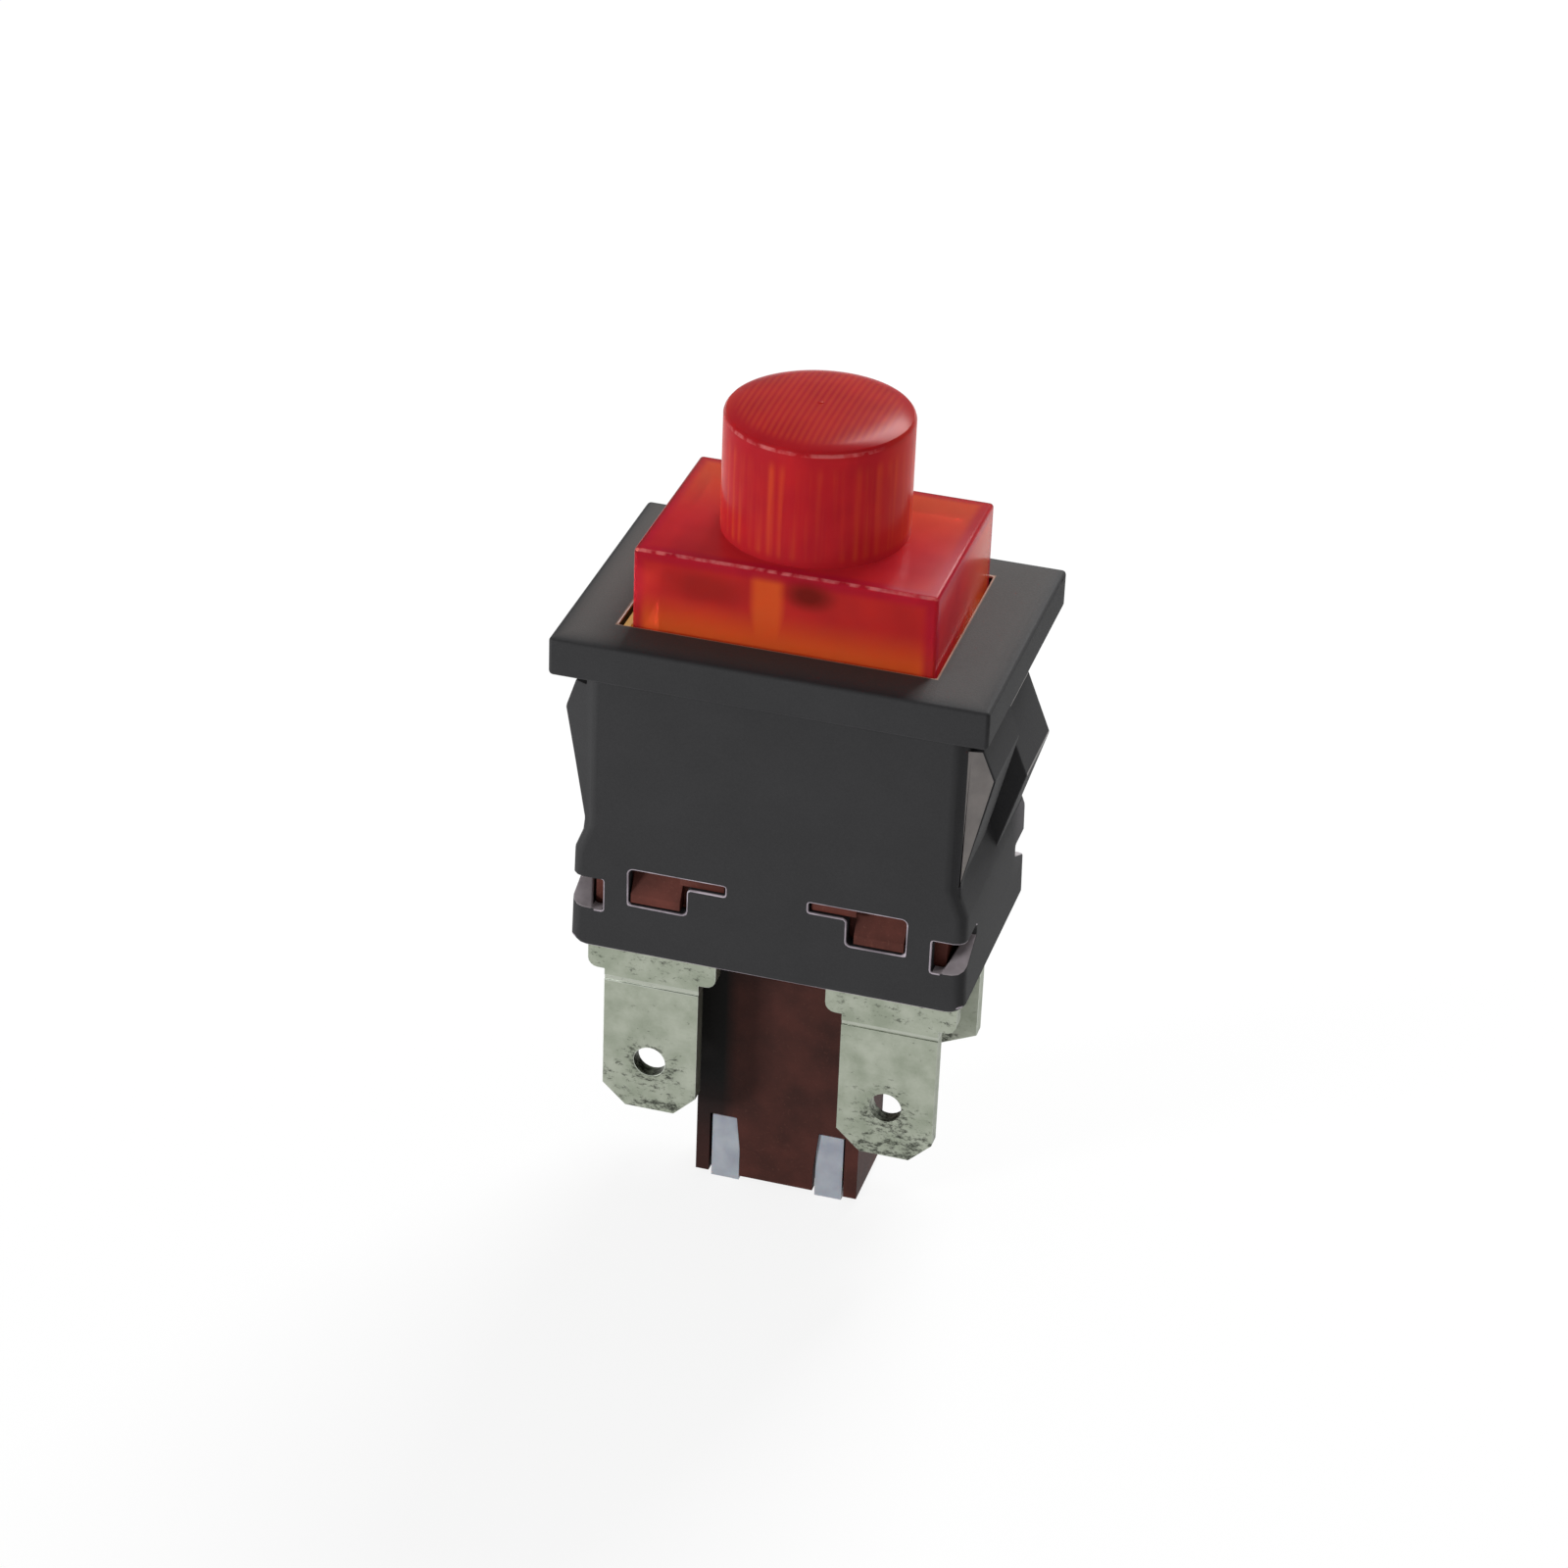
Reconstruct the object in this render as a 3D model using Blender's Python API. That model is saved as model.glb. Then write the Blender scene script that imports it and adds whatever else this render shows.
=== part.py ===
# Illuminated snap-in pushbutton switch, button up. X runs along the long side and Y goes away from
# the front. Z is 0 on the underside of the bezel, where the switch seats on its panel.
# Sizes are in millimetres, and the helpers turn them into metres.
import math

import bmesh
import bpy
from mathutils import Vector

millimetre = 0.001

# Fits. Running is left round a piece that moves, snug round a piece that stays.
running = 0.1
snug = 0.05

# How far the button goes down, and how far the bridges are from the fixed contacts at rest.
buttonTravel = 3.0
contactGap = 1.8

# Lens: a box with a round cap, and the gaps between the box and the bezel's window.
lensGapLong = 0.6
lensGapRight = 0.2
lensGapShort = 0.15
lensRise = 3.98
lensWall = 1.0
lensEdge = 0.15
capRadius = 4.45
capShoulderRise = 5.67
capRise = 6.32
capSkin = 0.95
capRoof = 1.2
fluteCount = 48
fluteDepth = 0.15

# Bezel, and the walls of the body below it.
bezelHeight = 2.1
bezelEdge = 0.2
bezelMarginLong = 1.4
bezelMarginShort = 1.5
windowLedge = 0.5
windowLip = 0.6
endWall = 0.8
sideWall = 0.7
bodyCorner = 0.6
flareReach = 0.6
footReach = 0.12
footWall = 0.9
footChamfer = 0.33
footEdge = 0.08
flareTopRise = 6.73
flareFootRise = 5.18

# Snap fingers on the short sides, one for thin panels in front and one for thick panels behind.
# Heights are from the bezel's underside, and reaches are from the body's end wall.
fingerEdge = 5.0
fingerGap = 0.4
fingerSlit = 0.2
fingerInset = 0.15
frontFingerTop = -1.25
frontFingerTopReach = 0.75
frontFingerPeak = -2.9
frontFingerPeakReach = 1.32
cheekGap = 0.1
cheekDepth = 0.6
rearFingerTop = -2.4
rearFingerTopReach = 0.4
rearFingerPeak = -5.5
rearFingerPeakReach = 1.65

# Windows in the long sides that the base snaps into, with a slit toward the middle, and at the corners.
# Rises are from the body's foot, and the other distances from the middle of the tab below.
snapWindowInner = 2.05
snapWindowOuter = 0.85
snapWindowTopRise = 4.68
snapWindowFootRise = 2.73
slitInner = 3.95
slitFootRise = 4.18
cornerWindowInner = 2.12
cornerWindowSill = 0.53
cornerWindowLean = 0.65
cornerWindowLeanRise = 1.1
cornerWindowTopRise = 3.83
cornerWindowFootRise = 2.13
cornerWindowDepth = 2.2

# Contact base: an open tub with a column below it.
tubHeight = 6.33
tubEndWall = 0.6
tubSideWall = 0.4
tubFloor = 1.23
noseInner = 1.7
noseOuter = 0.75
noseTopRise = 4.48
noseFootRise = 2.83
noseReach = 0.7
noseLip = 0.45
columnHeight = 14.39
columnEndWall = 0.68
columnSideWall = 0.7
columnFloor = 0.82
legSlotHeight = 3.47
legSlotRib = 2.13
legSlotRibFoot = 1.75

# Terminals, 0.8 by 4.8 tabs.
tabThickness = 0.8
tabWidth = 4.8
tabCornerDrop = 8.62
tabDrop = 9.82
tabChamfer = 1.15
rearTabChamfer = 3.4
rearTabCornerRise = 1.03
rearTabTipRise = 0.6
holeDrop = 2.9
holeDiameter = 1.6
shoulderWidth = 6.5
rearShoulderReach = 3.0
shoulderHeight = 1.95
shoulderCorner = 0.5
scoreDrop = 0.35
scoreWidth = 0.25
scoreDepth = 0.06
neckWidth = 4.0
shelfWidth = 3.2
shelfReach = 1.95
tongueDrop = 1.2
tongueLength = 4.25
tongueReach = 3.1

# Contacts and bridges.
contactRadius = 0.75
contactCentre = 2.7
fixedContactHeight = 0.4
movingContactHeight = 0.3
bridgeWidth = 2.4
bridgeLength = 6.8
bridgeThickness = 0.5
bridgeSpringRoom = 3.0
springStud = 0.5

# Plunger, from its plate down to its feet.
plateLength = 10.8
plateDepth = 4.8
plateThickness = 1.0
armDrop = 1.85
armThickness = 1.0
armDepth = 2.6
cagePost = 0.55
cageDepth = 1.2
cageRoom = 0.7
legWidth = 1.2
legTaper = 0.1
legProud = 0.3
pilotRadius = 0.7
pilotLength = 8.0
stemDepth = 3.0
trackDepth = 0.5
trackRight = 0.6
trackLeft = -2.6

# Latch pin and its leaf spring.
pinRadius = 0.22
pivotRise = 0.8
pinLength = 5.3
pinGap = 0.23
bossDepth = 1.15
leafThickness = 0.15
leafWidth = 1.0

# Diffuser frame with the lamp socket.
flangeTop = 1.2
flangeThickness = 0.9
flangeMargin = 0.15
frameWall = 0.8
frameRimHeight = 2.1
frameFoot = -1.6
frameFloor = 0.8
frameStep = 0.5
ribLeft = -1.6
ribRight = -0.1
socketWall = 0.4
socketTop = 1.8
socketPassage = 1.2

# Lamp, resistor and their wiring.
lampRadius = 2.1
lampFoot = 0.2
lampTop = 10.4
leadRadius = 0.15
leadRise = 0.35
leadHole = 0.28
leadSpread = 0.6
leadOffset = 0.9
resistorRadius = 0.65
resistorLength = 2.4
resistorGap = 0.35
padCentre = 2.6
padWidth = 1.8
padBack = 2.6
padThickness = 0.3

# Coil springs: outside radius and wire radius.
returnCoil = 1.45
returnWire = 0.17
returnRoom = 0.75
bridgeCoil = 0.9
bridgeWire = 0.11
lampCoil = 0.75
lampWire = 0.1

# Across the switch, from the stem in the middle out to the bezel.
stemLength = 2 * (returnCoil + returnRoom + legWidth)
cageInner = bridgeWidth / 2 + 1.5 * running
cageOuter = cageInner + cagePost
tabCentre = stemLength / 2 + cageRoom + cageOuter
tubRoomLength = 2 * (tabCentre + neckWidth / 2 + running)
tubLength = tubRoomLength + 2 * tubEndWall
footCavityLength = tubLength + 2 * running
flareLength = footCavityLength + 2 * footWall
footLength = flareLength + 2 * footReach
bodyLength = flareLength - 2 * flareReach
cavityLength = bodyLength - 2 * endWall
windowLength = cavityLength - 2 * windowLedge
bezelLength = bodyLength + 2 * bezelMarginLong
lensLength = windowLength - 2 * lensGapLong
columnRoomLength = stemLength + 2 * running
columnLength = columnRoomLength + 2 * columnEndWall

# From the middle to the front, through the contacts.
tabBack = contactCentre + contactRadius + tabThickness / 2 + snug
tabFace = tabBack + tabThickness
tubRoomDepth = 2 * (tabFace + running)
tubDepth = tubRoomDepth + 2 * tubSideWall
windowDepth = tubDepth + 2 * running
bodyDepth = windowDepth + 2 * sideWall
bezelDepth = bodyDepth + 2 * bezelMarginShort
lensDepth = windowDepth - 2 * lensGapShort
columnRoomDepth = stemDepth + 2 * running
columnDepth = columnRoomDepth + 2 * columnSideWall
lampSpringLine = (tongueReach + tabFace) / 2

# From the top down.
lensTop = bezelHeight + lensRise
lensRoof = lensTop - lensWall
lensFoot = flangeTop + snug
capShoulder = lensTop + capShoulderRise
capTop = lensTop + capRise
frameRim = flangeTop + frameRimHeight
flangeFoot = flangeTop - flangeThickness
frameBottom = frameFoot + frameFloor
plateTop = frameFoot - snug
plateFoot = plateTop - plateThickness
armTop = plateFoot - armDrop
armFoot = armTop - armThickness
bridgeTop = armFoot - bridgeSpringRoom
bridgeFoot = bridgeTop - bridgeThickness
cageBarTop = bridgeFoot - running
movingContactFoot = bridgeFoot - movingContactHeight
fixedContactTop = movingContactFoot - contactGap
shelfTop = fixedContactTop - fixedContactHeight
shelfFoot = shelfTop - tabThickness
tongueTop = shelfTop - tongueDrop
tubBottom = shelfTop - buttonTravel + 0.4
bodyFoot = tubBottom - tubFloor
tubTop = bodyFoot + tubHeight
stemFoot = tubBottom + running
columnFoot = bodyFoot - columnHeight
legSlotTop = columnFoot + legSlotHeight
legFoot = columnFoot - legProud
tabShoulder = bodyFoot - snug
tabCorner = bodyFoot - tabCornerDrop
tabTip = bodyFoot - tabDrop
flareTop = bodyFoot + flareTopRise
flareFoot = bodyFoot + flareFootRise

# Latch, measured from the back of the stem and the floor of the tub.
pinRun = stemDepth / 2 + pinGap + pinRadius
pinPivot = tubBottom + pivotRise
pinTip = pinPivot + pinLength
bossFront = pinRun + pinRadius + 0.08
bossBack = bossFront + bossDepth
trackFoot = pinTip - 0.6
trackTop = pinTip + buttonTravel + 0.7

# Frame under the lens, and the lamp's parts on it.
frameLength = lensLength - 2 * lensWall - 2 * running
frameDepth = lensDepth - 2 * lensWall - 2 * running
flangeLength = windowLength - 2 * flangeMargin
flangeDepth = windowDepth - 2 * flangeMargin
frameRoomLength = frameLength - 2 * frameWall
frameRoomDepth = frameDepth - 2 * frameWall
socketRadius = lampRadius + running
padTop = frameFoot - snug
padFoot = padTop - padThickness
padFront = frameDepth / 2 + frameStep
leadHeight = frameBottom + leadRise
leadExit = -frameRoomDepth / 2 + leadHole + 0.02
resistorCentre = -frameRoomLength / 2 + resistorGap + resistorRadius


def clearScene():
    for obj in list(bpy.data.objects):
        bpy.data.objects.remove(obj, do_unlink=True)


def makeSolid(name, points, faces):
    mesh = bpy.data.meshes.new(name)
    mesh.from_pydata([Vector(point) * millimetre for point in points], [], faces)
    obj = bpy.data.objects.new(name, mesh)
    bpy.context.scene.collection.objects.link(obj)
    shape = bmesh.new()
    shape.from_mesh(mesh)
    bmesh.ops.recalc_face_normals(shape, faces=shape.faces)
    shape.to_mesh(mesh)
    shape.free()
    return obj


# Closed solid through loops of points that all have the same count.
def makeLoft(name, loops):
    count = len(loops[0])
    points = [point for loop in loops for point in loop]
    faces = [tuple(range(count)), tuple(range(len(points) - count, len(points)))]
    for level in range(len(loops) - 1):
        low = level * count
        for step in range(count):
            nextStep = (step + 1) % count
            faces.append((low + step, low + nextStep, low + count + nextStep, low + count + step))
    return makeSolid(name, points, faces)


# Profile pulled along one axis. Its pairs are (y, z) along x, (x, z) along y and (x, y) along z.
def makePrism(name, profile, along, start, end):
    loops = []
    for place in (start, end):
        if along == "x":
            loops.append([(place, u, v) for u, v in profile])
        elif along == "y":
            loops.append([(u, place, v) for u, v in profile])
        else:
            loops.append([(u, v, place) for u, v in profile])
    return makeLoft(name, loops)


def makeBox(name, spanX, spanY, spanZ):
    profile = [(spanX[0], spanY[0]), (spanX[1], spanY[0]), (spanX[1], spanY[1]), (spanX[0], spanY[1])]
    return makePrism(name, profile, "z", spanZ[0], spanZ[1])


def makeBlock(name, length, depth, spanZ):
    return makeBox(name, (-length / 2, length / 2), (-depth / 2, depth / 2), spanZ)


# Turned solid. The profile holds (radius, z) pairs.
def makeTurned(name, profile, centre, sides):
    loops = []
    for radius, height in profile:
        loop = []
        for side in range(sides):
            angle = 2 * math.pi * side / sides
            x = centre[0] + radius * math.cos(angle)
            y = centre[1] + radius * math.sin(angle)
            loop.append((x, y, height))
        loops.append(loop)
    return makeLoft(name, loops)


def makeRod(name, centre, radius, spanZ, sides=24):
    return makeTurned(name, [(radius, spanZ[0]), (radius, spanZ[1])], centre, sides)


# Round wire along a path of points.
def makeWire(name, path, radius, sides=8):
    path = [Vector(point) for point in path]
    loops = []
    across = None
    for index, point in enumerate(path):
        before = path[max(index - 1, 0)]
        after = path[min(index + 1, len(path) - 1)]
        first = (point - before).normalized() if index else Vector()
        second = (after - point).normalized() if index < len(path) - 1 else Vector()
        tangent = (first + second).normalized()
        if across is None:
            across = tangent.orthogonal().normalized()
        across = (across - tangent * across.dot(tangent)).normalized()
        other = tangent.cross(across)
        loop = []
        for side in range(sides):
            angle = 2 * math.pi * side / sides
            loop.append(point + (across * math.cos(angle) + other * math.sin(angle)) * radius)
        loops.append(loop)
    return makeLoft(name, loops)


# Coil spring standing on Z, outside radius and wire radius given, with a closed turn at each end.
def makeCoil(name, centre, coil, wire, spanZ, turns, steps=14, sides=6):
    low = spanZ[0] + wire
    high = spanZ[1] - wire
    endTurn = 2.3 * wire
    path = []
    total = (turns + 2) * steps
    for step in range(total + 1):
        turn = step / steps
        if turn < 1:
            height = low + endTurn * turn
        elif turn > turns + 1:
            height = high - endTurn * (turns + 2 - turn)
        else:
            height = low + endTurn + (high - low - 2 * endTurn) * (turn - 1) / turns
        angle = 2 * math.pi * turn
        radius = coil - wire
        path.append((centre[0] + radius * math.cos(angle), centre[1] + radius * math.sin(angle), height))
    return makeWire(name, path, wire, sides)


def combine(target, other, operation):
    change = target.modifiers.new(operation.lower(), "BOOLEAN")
    change.operation = operation
    change.solver = "EXACT"
    change.object = other
    bpy.context.view_layer.objects.active = target
    bpy.ops.object.modifier_apply(modifier=change.name)
    bpy.data.objects.remove(other, do_unlink=True)


def add(target, other):
    combine(target, other, "UNION")


def cut(target, other):
    combine(target, other, "DIFFERENCE")


def roundEdges(obj, width, segments=2):
    change = obj.modifiers.new("rounded", "BEVEL")
    change.width = width * millimetre
    change.segments = segments
    change.limit_method = "ANGLE"
    change.angle_limit = math.radians(40)
    bpy.context.view_layer.objects.active = obj
    bpy.ops.object.modifier_apply(modifier=change.name)


def makeMaterial(name, colour, roughness, metallic=0.0, alpha=1.0):
    material = bpy.data.materials.new(name)
    material.use_nodes = True
    shader = material.node_tree.nodes["Principled BSDF"]
    shader.inputs["Base Color"].default_value = (colour[0], colour[1], colour[2], 1.0)
    shader.inputs["Roughness"].default_value = roughness
    shader.inputs["Metallic"].default_value = metallic
    shader.inputs["Alpha"].default_value = alpha
    return material


def finish(obj, material, smoothAngle=30):
    shape = bmesh.new()
    shape.from_mesh(obj.data)
    bmesh.ops.remove_doubles(shape, verts=shape.verts, dist=1e-7)
    bmesh.ops.dissolve_degenerate(shape, edges=shape.edges, dist=1e-7)
    bmesh.ops.recalc_face_normals(shape, faces=shape.faces)
    shape.to_mesh(obj.data)
    shape.free()
    obj.data.materials.clear()
    obj.data.materials.append(material)
    obj.data.polygons.foreach_set("use_smooth", [True] * len(obj.data.polygons))
    obj.data.set_sharp_from_angle(angle=math.radians(smoothAngle))


def mirrored(profile, side):
    return [(side * u, v) for u, v in profile]


def bodySection(halfLength, halfDepth, height):
    loop = []
    for quarter, (signX, signY) in enumerate(((1, 1), (-1, 1), (-1, -1), (1, -1))):
        for step in range(4):
            angle = math.radians(90 * quarter + 30 * step)
            x = signX * (halfLength - bodyCorner) + bodyCorner * math.cos(angle)
            y = signY * (halfDepth - bodyCorner) + bodyCorner * math.sin(angle)
            loop.append((x, y, height))
    return loop


def makeHousing(material):
    housing = makeBlock("bezel_housing", bezelLength, bezelDepth, (0, bezelHeight))
    roundEdges(housing, bezelEdge)
    halfDepth = bodyDepth / 2
    body = makeLoft(
        "body",
        [
            bodySection(bodyLength / 2, halfDepth, bezelHeight / 2),
            bodySection(bodyLength / 2, halfDepth, flareTop),
            bodySection(flareLength / 2, halfDepth, flareFoot),
            bodySection(footLength / 2, halfDepth, bodyFoot + footChamfer),
            bodySection(footLength / 2 - footChamfer, halfDepth - footEdge, bodyFoot),
        ],
    )
    add(housing, body)
    halfProfile = [
        (windowLength / 2, bezelHeight + 1),
        (windowLength / 2, 0),
        (cavityLength / 2, 0),
        (cavityLength / 2, tubTop),
        (footCavityLength / 2, tubTop),
        (footCavityLength / 2, bodyFoot - 1),
    ]
    lipEdge = lensLength / 2 + lensGapRight
    lipFoot = bezelHeight - windowLip
    lip = [(lipEdge, bezelHeight + 1), (lipEdge, lipFoot), (windowLength / 2, lipFoot)]
    profile = lip + halfProfile[1:] + mirrored(reversed(halfProfile), -1)
    cut(housing, makePrism("cavity", profile, "y", -windowDepth / 2, windowDepth / 2))
    for side in (-1, 1):
        addFingers(housing, side)
        cutWindows(housing, side)
    finish(housing, material)


def fingerOutlines():
    end = bodyLength / 2
    root = cavityLength / 2 + snug
    inside = end - fingerInset
    front = [(end + frontFingerTopReach, frontFingerTop), (end + frontFingerPeakReach, frontFingerPeak)]
    front += [(end - running, flareTop - 0.35), (root, flareTop - 0.35), (root, flareTop + 1.2)]
    front += [(inside, frontFingerPeak), (inside, frontFingerTop)]
    rear = [(end + rearFingerTopReach, rearFingerTop), (end + rearFingerPeakReach, rearFingerPeak)]
    rear += [(end + flareReach / 2, flareFoot + running), (inside, flareFoot + running)]
    rear += [(inside, tubTop + 0.02), (root, tubTop + 0.1), (root, flareTop + 0.4)]
    rear += [(end - running, rearFingerPeak + 0.5), (end - 0.4, rearFingerTop)]
    return front, rear


def addFingers(housing, side):
    front, rear = fingerOutlines()
    wall = sorted((side * (cavityLength / 2 - 0.1), side * (flareLength / 2)))
    for facing, slot, outline in (
        (-1, (flareTop + 1, frontFingerTop + 0.45), front),
        (1, (flareTop + 0.2, rearFingerTop + 0.6), rear),
    ):
        slit = sorted((facing * (fingerGap - fingerSlit), facing * (fingerEdge + fingerSlit)))
        cut(housing, makeBox("slit", wall, slit, slot))
        finger = makePrism("finger", mirrored(outline, side), "y", facing * fingerGap, facing * fingerEdge)
        add(housing, finger)
    add(housing, makeCheek(side))


# Slanted cheek of the front finger, with a gap behind it so that the finger can still bend.
def makeCheek(side):
    end = bodyLength / 2
    inner = end + cheekGap
    outline = [
        (inner, frontFingerTop),
        (end + frontFingerTopReach, frontFingerTop),
        (end + frontFingerPeakReach, frontFingerPeak),
        (inner, flareTop + cheekGap),
    ]
    front = -fingerEdge - cheekDepth
    cheek = makePrism("cheek", mirrored(outline, side), "y", front - 0.1, -fingerEdge + 0.1)
    slope = Vector((side * cheekDepth, -(frontFingerPeakReach - cheekGap), 0)).normalized()
    shape = bmesh.new()
    shape.from_mesh(cheek.data)
    parts = shape.verts[:] + shape.edges[:] + shape.faces[:]
    place = Vector((side * inner, front, 0)) * millimetre
    bmesh.ops.bisect_plane(shape, geom=parts, plane_co=place, plane_no=slope, clear_outer=True)
    bmesh.ops.holes_fill(shape, edges=shape.edges)
    bmesh.ops.recalc_face_normals(shape, faces=shape.faces)
    shape.to_mesh(cheek.data)
    shape.free()
    return cheek


def cutWindows(housing, side):
    outline = [
        (tabCentre + snapWindowOuter, bodyFoot + snapWindowTopRise),
        (tabCentre + snapWindowOuter, bodyFoot + snapWindowFootRise),
        (tabCentre - snapWindowInner, bodyFoot + snapWindowFootRise),
        (tabCentre - snapWindowInner, bodyFoot + slitFootRise),
        (tabCentre - slitInner, bodyFoot + slitFootRise),
        (tabCentre - slitInner, bodyFoot + snapWindowTopRise),
    ]
    for facing in (-1, 1):
        across = (facing * (windowDepth / 2 - 0.2), facing * (bodyDepth / 2 + 0.3))
        cut(housing, makePrism("window", mirrored(outline, side), "y", across[0], across[1]))
        cut(housing, makeCornerCutter(side, facing))


# Block for a corner window. A wedge stays below it as a sill that faces up and forward.
def makeCornerCutter(side, facing):
    inner = tabCentre + cornerWindowInner
    back = bodyDepth / 2 - cornerWindowDepth
    foot = bodyFoot + cornerWindowFootRise
    top = bodyFoot + cornerWindowTopRise
    spanX = sorted((side * inner, side * (footLength / 2 + 0.3)))
    spanY = sorted((facing * back, facing * (bodyDepth / 2 + 0.3)))
    cutter = makeBox("corner", spanX, spanY, (foot, top))
    low = Vector((inner + cornerWindowSill, bodyDepth / 2, foot))
    lean = Vector((cornerWindowLean, -cornerWindowDepth, cornerWindowLeanRise))
    edge = Vector((footLength / 2 - 0.22, bodyDepth / 2 - 0.3, foot + 0.2))
    wedgeX = sorted((side * (inner - 0.5), side * (footLength / 2 + 0.8)))
    wedgeY = sorted((facing * (back - 0.5), facing * (bodyDepth / 2 + 0.8)))
    wedge = makeBox("sill", wedgeX, wedgeY, (foot - 0.5, top + 0.5))
    shape = bmesh.new()
    shape.from_mesh(wedge.data)
    for slope in ((edge - low).cross(lean), lean.cross(Vector((0, -1, 0)))):
        slope = Vector((side * slope.x, facing * slope.y, slope.z)).normalized()
        place = Vector((side * low.x, facing * low.y, low.z)) * millimetre
        parts = shape.verts[:] + shape.edges[:] + shape.faces[:]
        bmesh.ops.bisect_plane(shape, geom=parts, plane_co=place, plane_no=slope, clear_inner=True)
        bmesh.ops.holes_fill(shape, edges=shape.edges)
    bmesh.ops.recalc_face_normals(shape, faces=shape.faces)
    shape.to_mesh(wedge.data)
    shape.free()
    cut(cutter, wedge)
    return cutter


def makeBase(material):
    base = makeBlock("contact_base", tubLength, tubDepth, (bodyFoot, tubTop))
    room = makeBlock("room", tubRoomLength, tubRoomDepth, (tubBottom, tubTop + 1))
    cut(base, room)
    add(base, makeBlock("column", columnLength, columnDepth, (columnFoot, bodyFoot + tubFloor / 2)))
    stemRoom = (columnFoot + columnFloor, tubBottom + 0.5)
    cut(base, makeBlock("stemRoom", columnRoomLength, columnRoomDepth, stemRoom))
    for side in (-1, 1):
        outline = [
            (legSlotRib, legSlotTop),
            (columnRoomLength / 2, legSlotTop),
            (columnRoomLength / 2, columnFoot - 1),
            (legSlotRibFoot, columnFoot - 1),
            (legSlotRibFoot, columnFoot),
        ]
        reach = columnDepth / 2 + 0.5
        cut(base, makePrism("legSlot", mirrored(outline, side), "y", -reach, reach))
        for facing in (-1, 1):
            addNose(base, side, facing)
            cutTabSlot(base, side, facing)
    addLatchBoss(base)
    finish(base, material)


def addNose(base, side, facing):
    wall = tubDepth / 2
    foot = bodyFoot + noseFootRise
    top = bodyFoot + noseTopRise
    profile = [
        (wall - 0.2, top),
        (wall, top),
        (wall + noseReach, foot + noseLip),
        (wall + noseReach, foot),
        (wall - 0.2, foot),
    ]
    profile = [(facing * across, height) for across, height in profile]
    ends = (side * (tabCentre - noseInner), side * (tabCentre + noseOuter))
    add(base, makePrism("nose", profile, "x", ends[0], ends[1]))


def cutTabSlot(base, side, facing):
    half = neckWidth / 2 + snug
    spanX = (side * tabCentre - half, side * tabCentre + half)
    spanY = sorted((facing * (tabBack - snug), facing * (tabFace + snug)))
    cut(base, makeBox("tabSlot", spanX, spanY, (bodyFoot - 1, tubBottom + 0.5)))


def addLatchBoss(base):
    half = leafWidth / 2 + 0.2
    add(base, makeBox("boss", (-half, half), (bossFront, bossBack), (tubBottom - 0.3, pinPivot + 0.8)))
    hole = makeRod("pivotHole", (0, 0), pinRadius + running, (bossFront - 0.5, bossFront + 0.8), 16)
    # The rod is made along Z and turned to lie along Y at the height of the pivot.
    for vertex in hole.data.vertices:
        x, y, z = vertex.co
        vertex.co = (x, z, pinPivot * millimetre - y)
    cut(base, hole)
    ribFront = bossBack + leafThickness + 3 * snug
    add(base, makeBox("rib", (-half, half), (ribFront, ribFront + 0.5), (tubBottom - 0.3, tubBottom + 1)))


# Sheet outline of a tab, seen from the front and centred on its own middle.
def tabOutline(chamfer, cornerRise, tipRise, reach):
    blade = tabWidth / 2
    shoulder = shoulderWidth / 2
    foot = tabShoulder - shoulderHeight
    neck = neckWidth / 2
    points = [(neck, shelfTop), (neck, tabShoulder), (reach, tabShoulder)]
    for step in range(5):
        angle = math.radians(22.5 * step)
        x = reach - shoulderCorner + shoulderCorner * math.cos(angle)
        z = foot + shoulderCorner - shoulderCorner * math.sin(angle)
        points.append((x, z))
    tip = tabTip + tipRise
    points += [(blade, foot), (blade, tabCorner + cornerRise), (blade - chamfer, tip)]
    points += [(-blade + tabChamfer, tip), (-blade, tabCorner), (-blade, foot)]
    for step in range(5):
        angle = math.radians(90 - 22.5 * step)
        x = -shoulder + shoulderCorner - shoulderCorner * math.cos(angle)
        z = foot + shoulderCorner - shoulderCorner * math.sin(angle)
        points.append((x, z))
    points += [(-shoulder, tabShoulder), (-neck, tabShoulder), (-neck, shelfTop)]
    return points


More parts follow.
